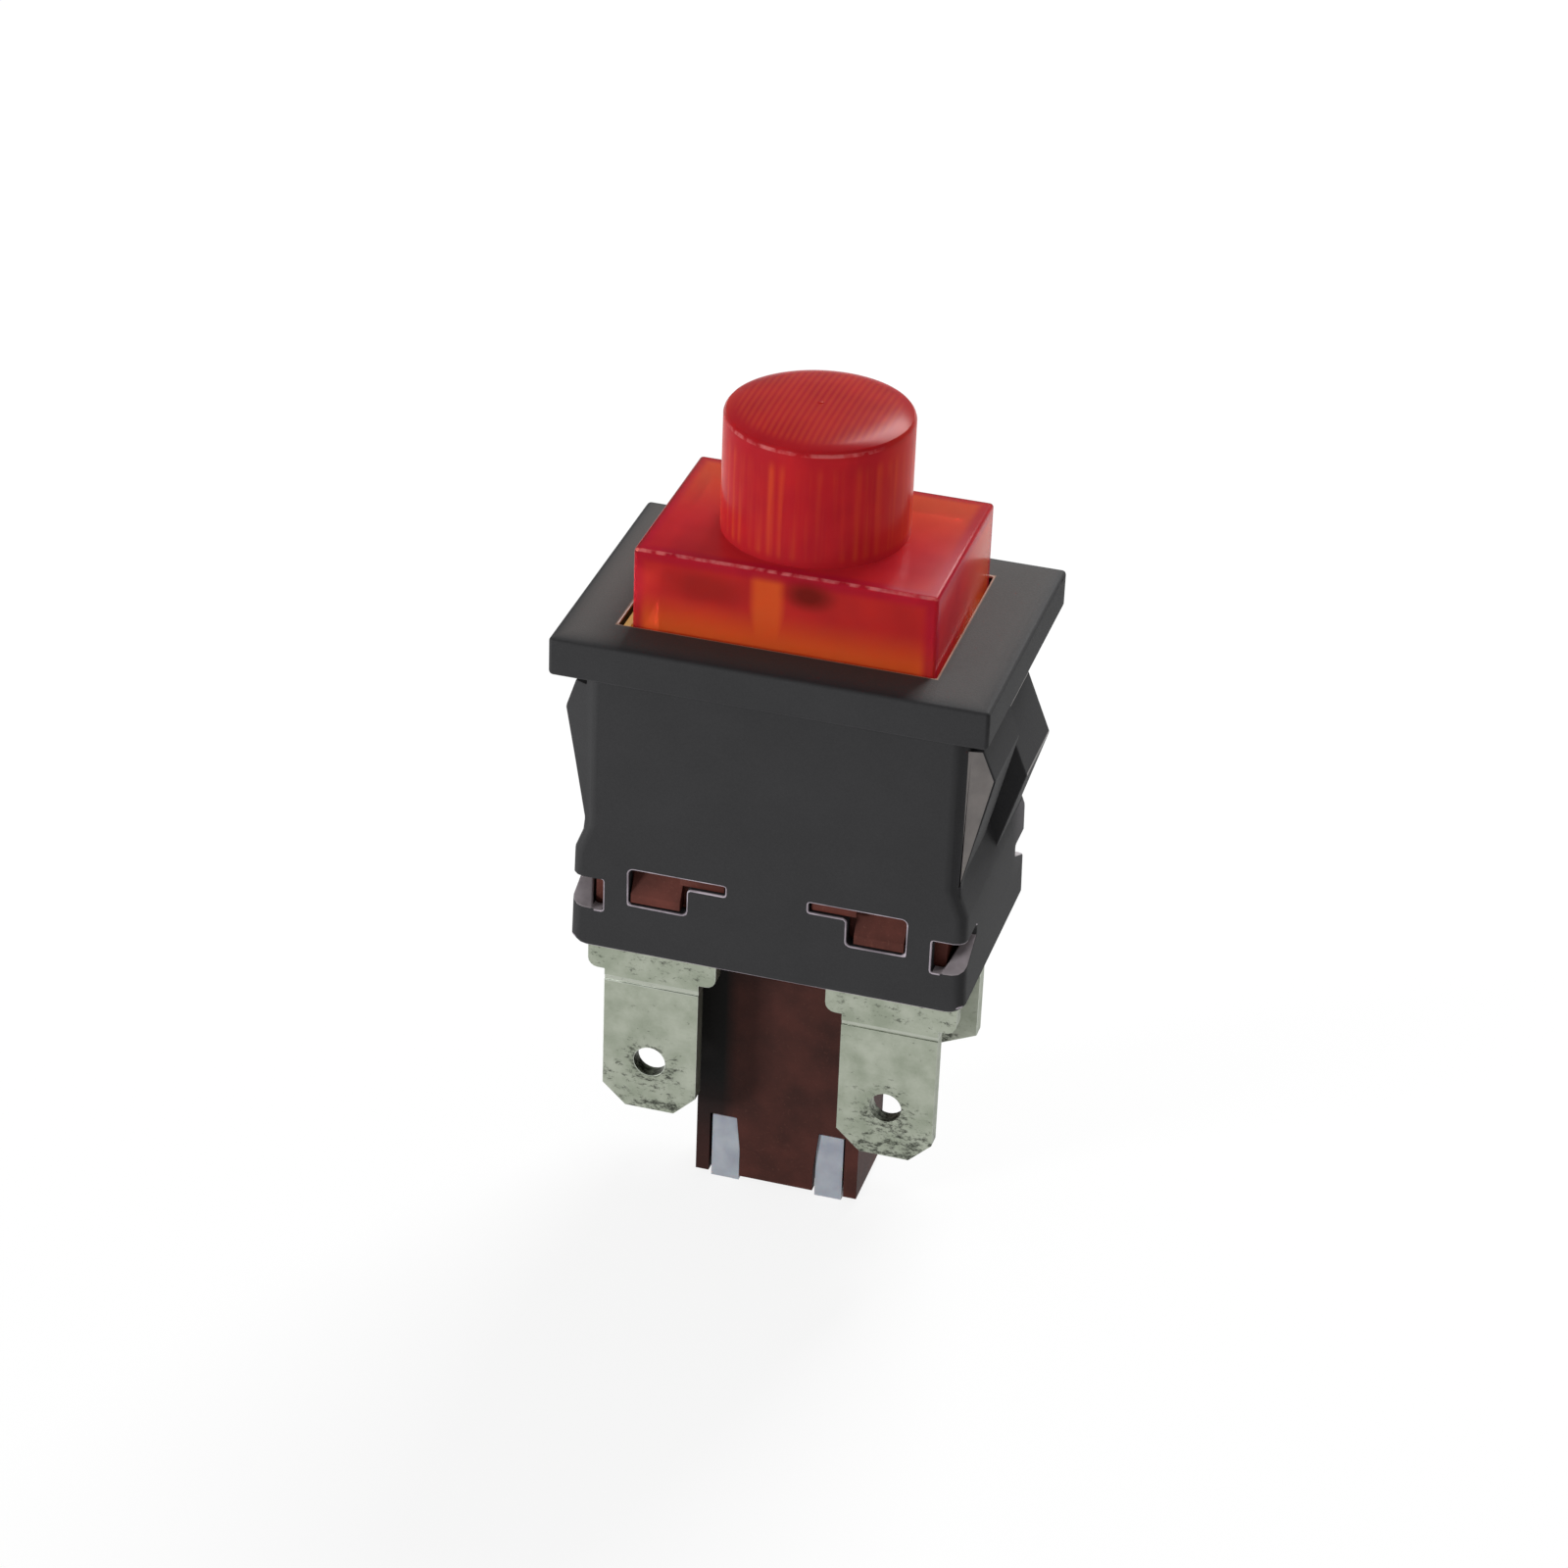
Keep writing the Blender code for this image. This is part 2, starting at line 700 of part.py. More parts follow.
def makeTerminal(name, side, facing, material):
    shape = (tabChamfer, 0, 0, shoulderWidth / 2)
    if facing > 0:
        shape = (rearTabChamfer, rearTabCornerRise, rearTabTipRise, rearShoulderReach)
    outline = [(side * (tabCentre + u), v) for u, v in tabOutline(*shape)]
    tab = makePrism(name, outline, "y", facing * tabBack, facing * tabFace)
    middle = side * tabCentre
    spanX = (middle - shelfWidth / 2, middle + shelfWidth / 2)
    spanY = sorted((facing * shelfReach, facing * (tabBack + tabThickness / 2)))
    add(tab, makeBox("shelf", spanX, spanY, (shelfFoot, shelfTop)))
    if facing < 0:
        spanX = sorted((side * (tabCentre - tongueLength), side * (tabCentre - neckWidth / 2 + 0.3)))
        spanY = (-tabFace, -tongueReach)
        add(tab, makeBox("tongue", spanX, spanY, (tongueTop - tabThickness, tongueTop)))
    foot = tabShoulder - shoulderHeight - scoreDrop
    across = (middle - tabWidth, middle + tabWidth)
    face = sorted((facing * (tabFace - scoreDepth), facing * (tabFace + 1)))
    cut(tab, makeBox("score", across, face, (foot - scoreWidth, foot)))
    hole = makeRod("hole", (0, 0), holeDiameter / 2, (-tabFace - 1, tabFace + 1), 24)
    for vertex in hole.data.vertices:
        x, y, z = vertex.co
        vertex.co = (x + middle * millimetre, z, (tabTip + holeDrop) * millimetre - y)
    cut(tab, hole)
    finish(tab, material)


def makeContacts(side, sideName, facing, facingName, material):
    centre = (side * tabCentre, facing * contactCentre)
    name = facingName + "_" + sideName
    fixed = makeRod("fixed_contact_" + name, centre, contactRadius, (shelfTop, fixedContactTop))
    finish(fixed, material)
    moving = makeRod("moving_contact_" + name, centre, contactRadius, (movingContactFoot, bridgeFoot))
    finish(moving, material)


def makeBridge(side, sideName, bridgeMaterial, springMaterial):
    middle = side * tabCentre
    spanX = (middle - bridgeWidth / 2, middle + bridgeWidth / 2)
    spanY = (-bridgeLength / 2, bridgeLength / 2)
    bridge = makeBox("bridge_" + sideName, spanX, spanY, (bridgeFoot, bridgeTop))
    stud = makeRod("stud", (middle, 0), springStud, (bridgeTop - bridgeThickness / 2, bridgeTop + 0.4), 16)
    add(bridge, stud)
    finish(bridge, bridgeMaterial)
    spanZ = (bridgeTop + snug, armFoot - snug)
    spring = makeCoil("bridge_spring_" + sideName, (middle, 0), bridgeCoil, bridgeWire, spanZ, 3)
    finish(spring, springMaterial)


def makePlunger(material):
    plunger = makeBlock("plunger", plateLength, plateDepth, (plateFoot, plateTop))
    add(plunger, makeBlock("stem", stemLength, stemDepth, (stemFoot, plateFoot + plateThickness / 2)))
    armLength = 2 * (tabCentre + cageOuter)
    add(plunger, makeBlock("arms", armLength, armDepth, (armFoot, armTop)))
    for side in (-1, 1):
        middle = side * tabCentre
        for across in (-1, 1):
            spanX = sorted((middle + across * cageInner, middle + across * cageOuter))
            spanY = (-cageDepth / 2, cageDepth / 2)
            post = makeBox("post", spanX, spanY, (cageBarTop - 0.5, armFoot + 0.4))
            add(plunger, post)
        spanX = (middle - cageOuter + 0.1, middle + cageOuter - 0.1)
        spanY = (-cageDepth / 2 + 0.1, cageDepth / 2 - 0.1)
        add(plunger, makeBox("bar", spanX, spanY, (cageBarTop - 0.45, cageBarTop)))
        add(plunger, makeRod("stud", (middle, 0), springStud, (armFoot - 0.7, armFoot + 0.4), 16))
        addLeg(plunger, side)
    add(plunger, makeRod("pilot", (0, 0), pilotRadius, (stemFoot - pilotLength, stemFoot + 0.4), 16))
    cutTrack(plunger)
    finish(plunger, material)


def addLeg(plunger, side):
    outer = stemLength / 2
    outline = [
        (outer - legWidth, stemFoot + 0.4),
        (outer, stemFoot + 0.4),
        (outer, legFoot),
        (outer - legWidth + legTaper, legFoot),
    ]
    add(plunger, makePrism("leg", mirrored(outline, side), "y", -stemDepth / 2, stemDepth / 2))
    spanX = sorted((side * (outer - legWidth + legTaper - 0.01), side * (outer - 0.01)))
    spanY = (-columnDepth / 2 + running, columnDepth / 2 - running)
    add(plunger, makeBox("foot", spanX, spanY, (legFoot + 0.01, legSlotTop - running)))


# Heart track in the back of the stem. The pin goes up its right side and rests in the heart's notch.
def cutTrack(plunger):
    back = stemDepth / 2
    spanX = (trackLeft, trackRight)
    track = makeBox("track", spanX, (back - trackDepth, back + 1), (trackFoot, trackTop))
    heart = [(-1.1, 0.6), (-0.6, 1.3), (-0.6, 2.0), (-0.85, 2.3), (-1.1, 2.0)]
    heart += [(-1.35, 2.3), (-1.6, 2.0), (-1.6, 1.3)]
    heart = [(across, pinTip + height) for across, height in heart]
    cut(track, makePrism("heart", heart, "y", back - trackDepth - 0.5, back + 2))
    cut(plunger, track)


def makeLatch(pinMaterial, leafMaterial):
    path = [(0, bossFront + 0.7, pinPivot), (0, pinRun, pinPivot), (0, pinRun, pinTip)]
    path.append((0, stemDepth / 2 - trackDepth + running, pinTip))
    finish(makeWire("latch_pin", path, pinRadius, 10), pinMaterial)
    front = pinRun + pinRadius + running
    foot = bossBack + 1.5 * snug
    outline = [
        (foot, tubBottom + snug),
        (foot + leafThickness, tubBottom + snug),
        (foot + leafThickness, pinPivot + 1.1),
        (front + leafThickness, pinTip - 0.6),
        (front + leafThickness, pinTip - 0.1),
        (front, pinTip - 0.1),
        (front, pinTip - 0.65),
        (foot, pinPivot + 1.05),
    ]
    leaf = makePrism("latch_leaf", outline, "x", -leafWidth / 2, leafWidth / 2)
    finish(leaf, leafMaterial)


def makeFrame(material):
    frame = makeBlock("diffuser_frame", flangeLength, flangeDepth, (flangeFoot, flangeTop))
    tubLengthBelow = frameLength + 2 * frameStep
    tubDepthBelow = frameDepth + 2 * frameStep
    tubHeights = (frameFoot, flangeFoot + flangeThickness / 2)
    add(frame, makeBlock("tub", tubLengthBelow, tubDepthBelow, tubHeights))
    add(frame, makeBlock("rim", frameLength, frameDepth, (flangeTop - flangeThickness / 2, frameRim)))
    cut(frame, makeBlock("room", frameRoomLength, frameRoomDepth, (frameBottom, frameRim + 1)))
    spanY = (-frameDepth / 2, -frameRoomDepth / 2)
    add(frame, makeBox("rib", (ribLeft, ribRight), spanY, (frameRim - 0.5, lensRoof - running)))
    socket = makeRod("socket", (0, 0), socketRadius + socketWall, (frameBottom - 0.3, socketTop), 32)
    cut(socket, makeRod("bore", (0, 0), socketRadius, (frameBottom - 1, socketTop + 1), 32))
    passage = socketRadius + socketWall + 0.3
    heights = (frameBottom - 1, lampFoot - snug)
    cut(socket, makeBox("passage", (-passage, passage), (-socketPassage, socketPassage), heights))
    add(frame, socket)
    for side in (-1, 1):
        centre = (side * padCentre, leadExit)
        cut(frame, makeRod("leadHole", centre, leadHole, (frameFoot - 0.5, frameBottom + 0.5), 12))
    finish(frame, material)


def makeLens(material):
    lens = makeBlock("button_lens", lensLength, lensDepth, (lensFoot, lensTop))
    roundEdges(lens, lensEdge)
    profile = [(capRadius, lensTop - lensWall / 2), (capRadius, capShoulder)]
    profile += [(capRadius - 0.06, capShoulder + 0.18), (capRadius - 0.22, capShoulder + 0.32)]
    crown = capTop - capShoulder - 0.32
    for share in (0.76, 0.52, 0.28, 0.05):
        profile.append((capRadius * share, capTop - crown * share * share))
    add(lens, makeTurned("cap", profile, (0, 0), 64))
    roomLength = lensLength - 2 * lensWall
    roomDepth = lensDepth - 2 * lensWall
    cut(lens, makeBlock("room", roomLength, roomDepth, (lensFoot - 1, lensRoof)))
    flutes = []
    for step in range(2 * fluteCount):
        angle = math.pi * step / fluteCount
        radius = capRadius - capSkin - fluteDepth * (step % 2)
        flutes.append((radius * math.cos(angle), radius * math.sin(angle)))
    cut(lens, makePrism("flutes", flutes, "z", lensRoof - 0.5, capTop - capRoof))
    finish(lens, material, 35)


def makeLamp(glass, body, copper, brass):
    profile = [(lampRadius - 0.3, lampFoot), (lampRadius, lampFoot + 0.3), (lampRadius, lampTop - 1.7)]
    profile += [(lampRadius * 0.9, lampTop - 1.1), (lampRadius * 0.62, lampTop - 0.6)]
    profile += [(lampRadius * 0.2, lampTop - 0.3), (lampRadius * 0.08, lampTop)]
    finish(makeTurned("neon_lamp", profile, (0, 0), 32), glass, 50)
    half = resistorLength / 2
    height = frameBottom + resistorRadius + running
    shape = [(0.7, -0.5), (1, -0.42), (1, -0.21), (0.85, -0.15)]
    shape += [(0.85, 0.15), (1, 0.21), (1, 0.42), (0.7, 0.5)]
    shape = [(radius * resistorRadius, place * resistorLength) for radius, place in shape]
    resistor = makeTurned("lamp_resistor", shape, (0, 0), 16)
    for vertex in resistor.data.vertices:
        x, y, z = vertex.co
        vertex.co = (x + resistorCentre * millimetre, z, y + height * millimetre)
    finish(resistor, body, 50)
    bend = half + 3 * leadRadius + 2 * running
    past = socketRadius + socketWall + 3 * leadRadius
    start = lampFoot - snug
    right = [(leadSpread, 0, start), (leadSpread, 0, leadHeight), (past, -leadOffset, leadHeight)]
    right += [(padCentre, leadExit, leadHeight), (padCentre, leadExit, frameFoot)]
    finish(makeWire("lamp_lead_right", right, leadRadius), copper)
    middle = [(-leadSpread, 0, start), (-leadSpread, 0, leadHeight), (-past, leadOffset, leadHeight)]
    middle += [(-past, bend, leadHeight), (resistorCentre, bend, height)]
    middle += [(resistorCentre, half + snug, height)]
    finish(makeWire("lamp_lead_middle", middle, leadRadius), copper)
    left = [(resistorCentre, -half - snug, height), (resistorCentre, -bend, height)]
    left += [(-padCentre, leadExit, leadHeight), (-padCentre, leadExit, frameFoot)]
    finish(makeWire("lamp_lead_resistor", left, leadRadius), copper)
    for side, sideName in ((-1, "left"), (1, "right")):
        spanX = (side * padCentre - padWidth / 2, side * padCentre + padWidth / 2)
        pad = makeBox("lamp_pad_" + sideName, spanX, (-padFront, -padBack), (padFoot, padTop))
        finish(pad, brass)


def makeSprings(material):
    spanZ = (columnFoot + columnFloor + snug, stemFoot - snug)
    finish(makeCoil("return_spring", (0, 0), returnCoil, returnWire, spanZ, 9), material, 50)
    for side, sideName in ((-1, "left"), (1, "right")):
        centre = (side * padCentre, -lampSpringLine)
        spanZ = (tongueTop + snug, padFoot - snug)
        spring = makeCoil("lamp_spring_" + sideName, centre, lampCoil, lampWire, spanZ, 7, 12)
        finish(spring, material, 50)


def main():
    clearScene()
    blackNylon = makeMaterial("black_nylon", (0.022, 0.021, 0.022), 0.45)
    phenolic = makeMaterial("brown_phenolic", (0.075, 0.034, 0.027), 0.5)
    redLens = makeMaterial("red_lens", (0.42, 0.016, 0.018), 0.25, alpha=0.9)
    amber = makeMaterial("amber_frame", (0.7, 0.24, 0.03), 0.35)
    whiteNylon = makeMaterial("white_nylon", (0.46, 0.46, 0.5), 0.5)
    tinned = makeMaterial("tinned_brass", (0.42, 0.41, 0.34), 0.4, 1.0)
    silver = makeMaterial("silver", (0.8, 0.79, 0.76), 0.3, 1.0)
    brass = makeMaterial("brass", (0.62, 0.45, 0.2), 0.35, 1.0)
    springSteel = makeMaterial("spring_steel", (0.5, 0.5, 0.5), 0.35, 1.0)
    copper = makeMaterial("tinned_wire", (0.6, 0.58, 0.55), 0.35, 1.0)
    glass = makeMaterial("lamp_glass", (0.8, 0.76, 0.7), 0.1, alpha=0.5)
    resistorBody = makeMaterial("resistor_body", (0.5, 0.36, 0.2), 0.6)
    makeHousing(blackNylon)
    makeBase(phenolic)
    makeLens(redLens)
    makeFrame(amber)
    makePlunger(whiteNylon)
    makeLamp(glass, resistorBody, copper, brass)
    makeSprings(springSteel)
    makeLatch(springSteel, springSteel)
    for side, sideName in ((-1, "left"), (1, "right")):
        makeBridge(side, sideName, brass, springSteel)
        for facing, facingName in ((-1, "front"), (1, "rear")):
            makeTerminal("terminal_" + facingName + "_" + sideName, side, facing, tinned)
            makeContacts(side, sideName, facing, facingName, silver)


main()
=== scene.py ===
import math

import bpy
from mathutils import Matrix, Vector


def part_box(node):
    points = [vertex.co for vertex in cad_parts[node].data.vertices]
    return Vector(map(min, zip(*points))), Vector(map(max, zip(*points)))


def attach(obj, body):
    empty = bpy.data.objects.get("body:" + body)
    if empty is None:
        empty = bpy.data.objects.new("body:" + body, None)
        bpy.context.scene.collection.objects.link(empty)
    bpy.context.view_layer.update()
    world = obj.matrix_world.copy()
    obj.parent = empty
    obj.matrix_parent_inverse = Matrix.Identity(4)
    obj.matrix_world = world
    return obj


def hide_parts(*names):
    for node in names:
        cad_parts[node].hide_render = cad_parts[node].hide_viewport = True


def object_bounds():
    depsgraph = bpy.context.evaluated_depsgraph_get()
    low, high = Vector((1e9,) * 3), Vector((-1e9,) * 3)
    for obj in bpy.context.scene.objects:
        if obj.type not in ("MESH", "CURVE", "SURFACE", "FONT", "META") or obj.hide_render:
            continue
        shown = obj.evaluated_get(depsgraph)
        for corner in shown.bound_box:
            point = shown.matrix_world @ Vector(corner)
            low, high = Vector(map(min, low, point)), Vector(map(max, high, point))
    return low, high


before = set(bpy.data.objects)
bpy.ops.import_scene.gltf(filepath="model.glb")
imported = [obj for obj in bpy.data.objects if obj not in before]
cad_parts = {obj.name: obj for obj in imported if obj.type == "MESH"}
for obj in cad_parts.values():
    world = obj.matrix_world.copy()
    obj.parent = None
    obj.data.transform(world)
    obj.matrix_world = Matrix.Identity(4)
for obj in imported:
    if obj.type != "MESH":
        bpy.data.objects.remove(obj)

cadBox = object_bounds()
mm = 0.001
far = 50  # mm, past the switch on every side
scene = bpy.context.scene


def linearColour(hexValue):
    channels = []
    for place in (0, 2, 4):
        value = int(hexValue[place:place + 2], 16) / 255
        channels.append(value / 12.92 if value <= 0.04045 else ((value + 0.055) / 1.055) ** 2.4)
    return (*channels, 1.0)


def grey(value):
    return (value, value, value, 1.0)


def setStops(ramp, stops):
    while len(ramp.elements) > len(stops):
        ramp.elements.remove(ramp.elements[-1])
    while len(ramp.elements) < len(stops):
        ramp.elements.new(1.0)
    for element, (place, colour) in zip(ramp.elements, stops):
        element.position = place
        element.color = colour


# Fills in a node. A key is a property, or a socket's name or number. "range" holds where a Map Range starts
# and ends, and "stops" a ramp's colours. A socket takes a value, an output, or a node's first output in use.
def fillNode(node, entries):
    for key, value in entries.items():
        sockets = [socket for number, socket in enumerate(node.inputs)
                   if socket.enabled and key in (number, socket.name)]
        if key == "range":
            fillNode(node, dict(zip(("From Min", "From Max", "To Min", "To Max"), value)))
        elif key == "stops":
            setStops(node.color_ramp, value)
        elif not sockets:
            setattr(node, key, value)
        elif isinstance(value, bpy.types.Node):
            outputs = [output for output in value.outputs if output.enabled]
            node.id_data.links.new(outputs[0], sockets[0])
        elif isinstance(value, bpy.types.NodeSocket):
            node.id_data.links.new(value, sockets[0])
        else:
            sockets[0].default_value = value


def addNode(material, kind, entries):
    node = material.node_tree.nodes.new("ShaderNode" + kind)
    fillNode(node, entries)
    return node


# A new material, its shader, and a point on the object in mm
def startMaterial(name, shaderEntries):
    material = bpy.data.materials.new(name)
    material.use_nodes = True
    shader = material.node_tree.nodes["Principled BSDF"]
    fillNode(shader, shaderEntries)
    place = addNode(material, "TexCoord", {}).outputs["Object"]
    point = addNode(material, "Mapping", {"Vector": place, "Scale": (1 / mm, 1 / mm, 1 / mm)})
    return material, shader, point


# Gives a noise of a real size, and the tones of one colour that follow it in soft clouds
def addClouds(material, point, look):
    noise = addNode(material, "TexNoise", {
        "Vector": point, "Scale": 1 / look["cloudMm"], "Detail": look["cloudDetail"],
        "Roughness": look.get("cloudRoughness", 0.5)})
    stops = [(place, linearColour(tone)) for place, tone in look["tones"]]
    return noise, addNode(material, "ValToRGB", {"Fac": noise, "stops": stops})


# Noise that breaks up the gloss and, where the look has a bump, stands proud: its strength and depth in mm
def addGrain(material, shader, noise, look):
    rough = addNode(material, "MapRange", {"range": (0, 1, *look["roughness"]), "Value": noise})
    fillNode(shader, {"Roughness": rough})
    if "bump" in look:
        strength, depth = look["bump"]
        bump = addNode(material, "Bump", {"Strength": strength, "Distance": depth * mm, "Height": noise})
        fillNode(shader, {"Normal": bump})


# How strongly a patch shows: a share times its fades. A fade is a source and where it starts and ends,
# and then its strength at both, from 0 to 1 if left out.
def patchShare(material, fades, blend="LINEAR", share=1.0):
    for source, ends in fades:
        fade = addNode(material, "MapRange", {"interpolation_type": blend, "range": ends, "Value": source})
        share = addNode(material, "Math", {"operation": "MULTIPLY", 0: share, 1: fade})
    return share


# Lays a colour over what is below it, where its patch shows
def tintPatch(material, below, colour, fades, blend="LINEAR", share=1.0):
    share = patchShare(material, fades, blend, share)
    return addNode(material, "Mix", {
        "data_type": "RGBA", "Factor": share, "A": below, "B": linearColour(colour)})


# Nylon 66 from a spark-eroded mould: a satin black whose fine grain softens every highlight
def makeBlackNylon():
    look = {
        "tones": ((0.35, "1a1a1c"), (0.7, "1e1e20")), "cloudMm": 3.0, "cloudDetail": 4,
        "grainMm": 0.09, "grainDetail": 3, "roughness": (0.68, 0.82), "bump": (0.35, 0.02),
        "paintedSheen": "4e4844", "paintedSheenX": (-11, 8, 0.6, 0.42), "paintedSheenY": (-7.5, -1.5, 0.7, 1.0), "paintedSheenZ": (1.97, 2.1),
        # rim is the colour of a painted highlight along the opening's edge
        "rim": "a8836c", "rimWidth": (0.07, 0.15, 0.85, 0.0), "rimZ": (2.0, 2.001),
        "openingMiddle": (-0.2, 0, 0), "openingHalf": (7.6, 5.3, 0),
        "cornerHighlight": "5c585c", "cornerHighlightX": (9.55, 9.551), "cornerHighlightY": (3.0, 5.2),
        "cornerHighlightZ": (-13.5, -10.5, 0.0, 0.55), "cornerHighlightTop": (-8.4, -8.399, 1.0, 0.0),
    }
    material, shader, point = startMaterial("black_nylon_moulded", {"IOR": 1.53, "Specular IOR Level": 0.4})
    x, y, z = addNode(material, "SeparateXYZ", {"Vector": point}).outputs
    colour = addClouds(material, point, look)[1]
    grain = addNode(material, "TexNoise", {
        "Vector": point, "Scale": 1 / look["grainMm"], "Detail": look["grainDetail"]})
    addGrain(material, shader, grain, look)
    # Painted sheen: the bezel's top is made paler, strongest at its left and rear, as its lit top looks
    fades = [(x, look["paintedSheenX"]), (y, look["paintedSheenY"]), (z, look["paintedSheenZ"])]
    colour = tintPatch(material, colour, look["paintedSheen"], fades)
    # Painted highlight: a thin warm line on the bezel's top along the edge of the lens's opening
    shifted = addNode(material, "VectorMath", {"operation": "SUBTRACT", 0: point, 1: look["openingMiddle"]})
    across = addNode(material, "VectorMath", {"operation": "ABSOLUTE", 0: shifted})
    past = addNode(material, "VectorMath", {"operation": "SUBTRACT", 0: across, 1: look["openingHalf"]})
    pastX, pastY = addNode(material, "SeparateXYZ", {"Vector": past}).outputs[:2]
    farther = addNode(material, "Math", {"operation": "MAXIMUM", 0: pastX, 1: pastY})
    colour = tintPatch(material, colour, look["rim"], [(farther, look["rimWidth"]), (z, look["rimZ"])])
    # Painted highlight: the flare's side is made grey toward the rear, by the corner window, as its lit
    # rounded corner looks
    fades = [(x, look["cornerHighlightX"]), (y, look["cornerHighlightY"]), (z, look["cornerHighlightZ"]), (z, look["cornerHighlightTop"])]
    colour = tintPatch(material, colour, look["cornerHighlight"], fades)
    fillNode(shader, {"Base Color": colour})
    return material


# The same nylon made paler, a little lilac against the black: painted highlights on edges and painted light
# on lit facets
def makePaintedLightNylon(name, dark, light):
    look = {"tones": ((0.35, dark), (0.65, light)), "cloudMm": 1.1, "cloudDetail": 4,
            "roughness": (0.3, 0.45)}
    material, shader, point = startMaterial(name, {"IOR": 1.53})
    clouds, colour = addClouds(material, point, look)
    addGrain(material, shader, clouds, look)
    fillNode(shader, {"Base Color": colour})
    return material


# Wood-filled phenolic, compression moulded: a dull brown with paler flecks of filler
def makeBrownPhenolic():
    look = {
        "tones": ((0.35, "44211a"), (0.68, "5c2f27")), "cloudMm": 1.9, "cloudDetail": 5,
        "fleck": "643d33", "fleckMm": 0.16, "fleckDetail": 2, "fleckShows": (0.6, 0.74, 0.0, 0.45),
        "roughness": (0.5, 0.66), "bump": (0.3, 0.02),
        "paintedShade": "070404", "paintedShadeX": (-2.9, -2.2, 1.0, 0.5), "paintedShadeZ": (-40, -24),
        "paintedShadeTop": (-15.3, -15.299, 1.0, 0.0),
    }
    material, shader, point = startMaterial("brown_phenolic_moulded", {
        "IOR": 1.6, "Specular IOR Level": 0.12})
    place = addNode(material, "SeparateXYZ", {"Vector": point}).outputs
    colour = addClouds(material, point, look)[1]
    flecks = addNode(material, "TexNoise", {
        "Vector": point, "Scale": 1 / look["fleckMm"], "Detail": look["fleckDetail"]})
    addGrain(material, shader, flecks, look)
    colour = tintPatch(material, colour, look["fleck"], [(flecks, look["fleckShows"])])
    # Painted shadow: the column is darker than the block above it, nearly black at its left where the left
    # tab shades it, and a little paler at its foot
    fades = [(place["X"], look["paintedShadeX"]), (place["Z"], look["paintedShadeZ"]), (place["Z"], look["paintedShadeTop"])]
    colour = tintPatch(material, colour, look["paintedShade"], fades)
    fillNode(shader, {"Base Color": colour})
    return material


# Painted orange light in the lens: at the box's foot and back, at the frame's rib behind the front wall, and
# in lines where flutes line the cap's wall and ribs its roof
def lensGlow(material, point, look):
    x, y, z = addNode(material, "SeparateXYZ", {"Vector": point}).outputs
    across = addNode(material, "VectorMath", {"operation": "ABSOLUTE", 0: point})
    offX, offY = addNode(material, "SeparateXYZ", {"Vector": across}).outputs[:2]
    flat = addNode(material, "VectorMath", {"operation": "MULTIPLY", 0: point, 1: (1, 1, 0)})
    radius = addNode(material, "VectorMath", {"operation": "LENGTH", 0: flat})
    angle = addNode(material, "Math", {"operation": "ARCTAN2", 0: y, 1: x})
    waves = []
    for source, turns in ((angle, look["flutes"]), (x, 2 * math.pi / look["roofRibMm"])):
        turned = addNode(material, "Math", {"operation": "MULTIPLY", 0: source, 1: turns})
        wave = addNode(material, "Math", {"operation": "SINE", 0: turned})
        waves.append(addNode(material, "Math", {"operation": "MULTIPLY_ADD", 0: wave, 1: 0.5, 2: 0.5}))
    flute, roofRib = waves
    upright = addNode(material, "Mapping", {"Vector": point, "Scale": look["fluteStretch"]})
    uneven = addNode(material, "TexNoise", {
        "Vector": upright, "Scale": 1 / look["dashMm"], "Detail": look["fluteDetail"]})
    broken = patchShare(material, [(uneven, look["fluteBreaks"])], "LINEAR", flute)
    patches = (
        ([(z, look["footZ"]), (offY, look["onWall"])], 1.0),
        ([(y, look["backY"]), (z, look["onBox"]), (offY, look["offWall"])], 1.0),
        ([(x, look["ribLeft"]), (x, look["ribRight"]), (z, look["ribTop"]), (y, look["onFront"])], 1.0),
        ([(z, look["roofZ"]), (radius, look["roofRadius"])], roofRib),
    )
    glow = 0.0
    for fades, share in patches:
        share = patchShare(material, fades, "SMOOTHSTEP", share)
        glow = addNode(material, "Math", {"operation": "MAXIMUM", 0: glow, 1: share})
    lines = patchShare(material, [(z, look["fluteTop"]), (z, look["onCap"])], "SMOOTHSTEP", broken)
    ends = patchShare(material, [(offX, look["capEnds"]), (z, look["onCap"])], "SMOOTHSTEP")
    cap = addNode(material, "Math", {"operation": "ADD", 0: lines, 1: ends})
    return addNode(material, "Math", {"operation": "MAXIMUM", 0: glow, 1: cap})


# How far a point lies inside the nearest edge of the lens's box: the middle one of its depths under the faces
def depthFromEdge(material, point, look):
    across = addNode(material, "VectorMath", {"operation": "ABSOLUTE", 0: point})
    inward = addNode(material, "VectorMath", {"operation": "SUBTRACT", 0: look["half"], 1: across})
    inX, inY, inZ = addNode(material, "SeparateXYZ", {"Vector": inward}).outputs
    nearer = addNode(material, "Math", {"operation": "MINIMUM", 0: inX, 1: inY})
    farther = addNode(material, "Math", {"operation": "MAXIMUM", 0: inX, 1: inY})
    lower = addNode(material, "Math", {"operation": "MINIMUM", 0: farther, 1: inZ})
    return addNode(material, "Math", {"operation": "MAXIMUM", 0: nearer, 1: lower})
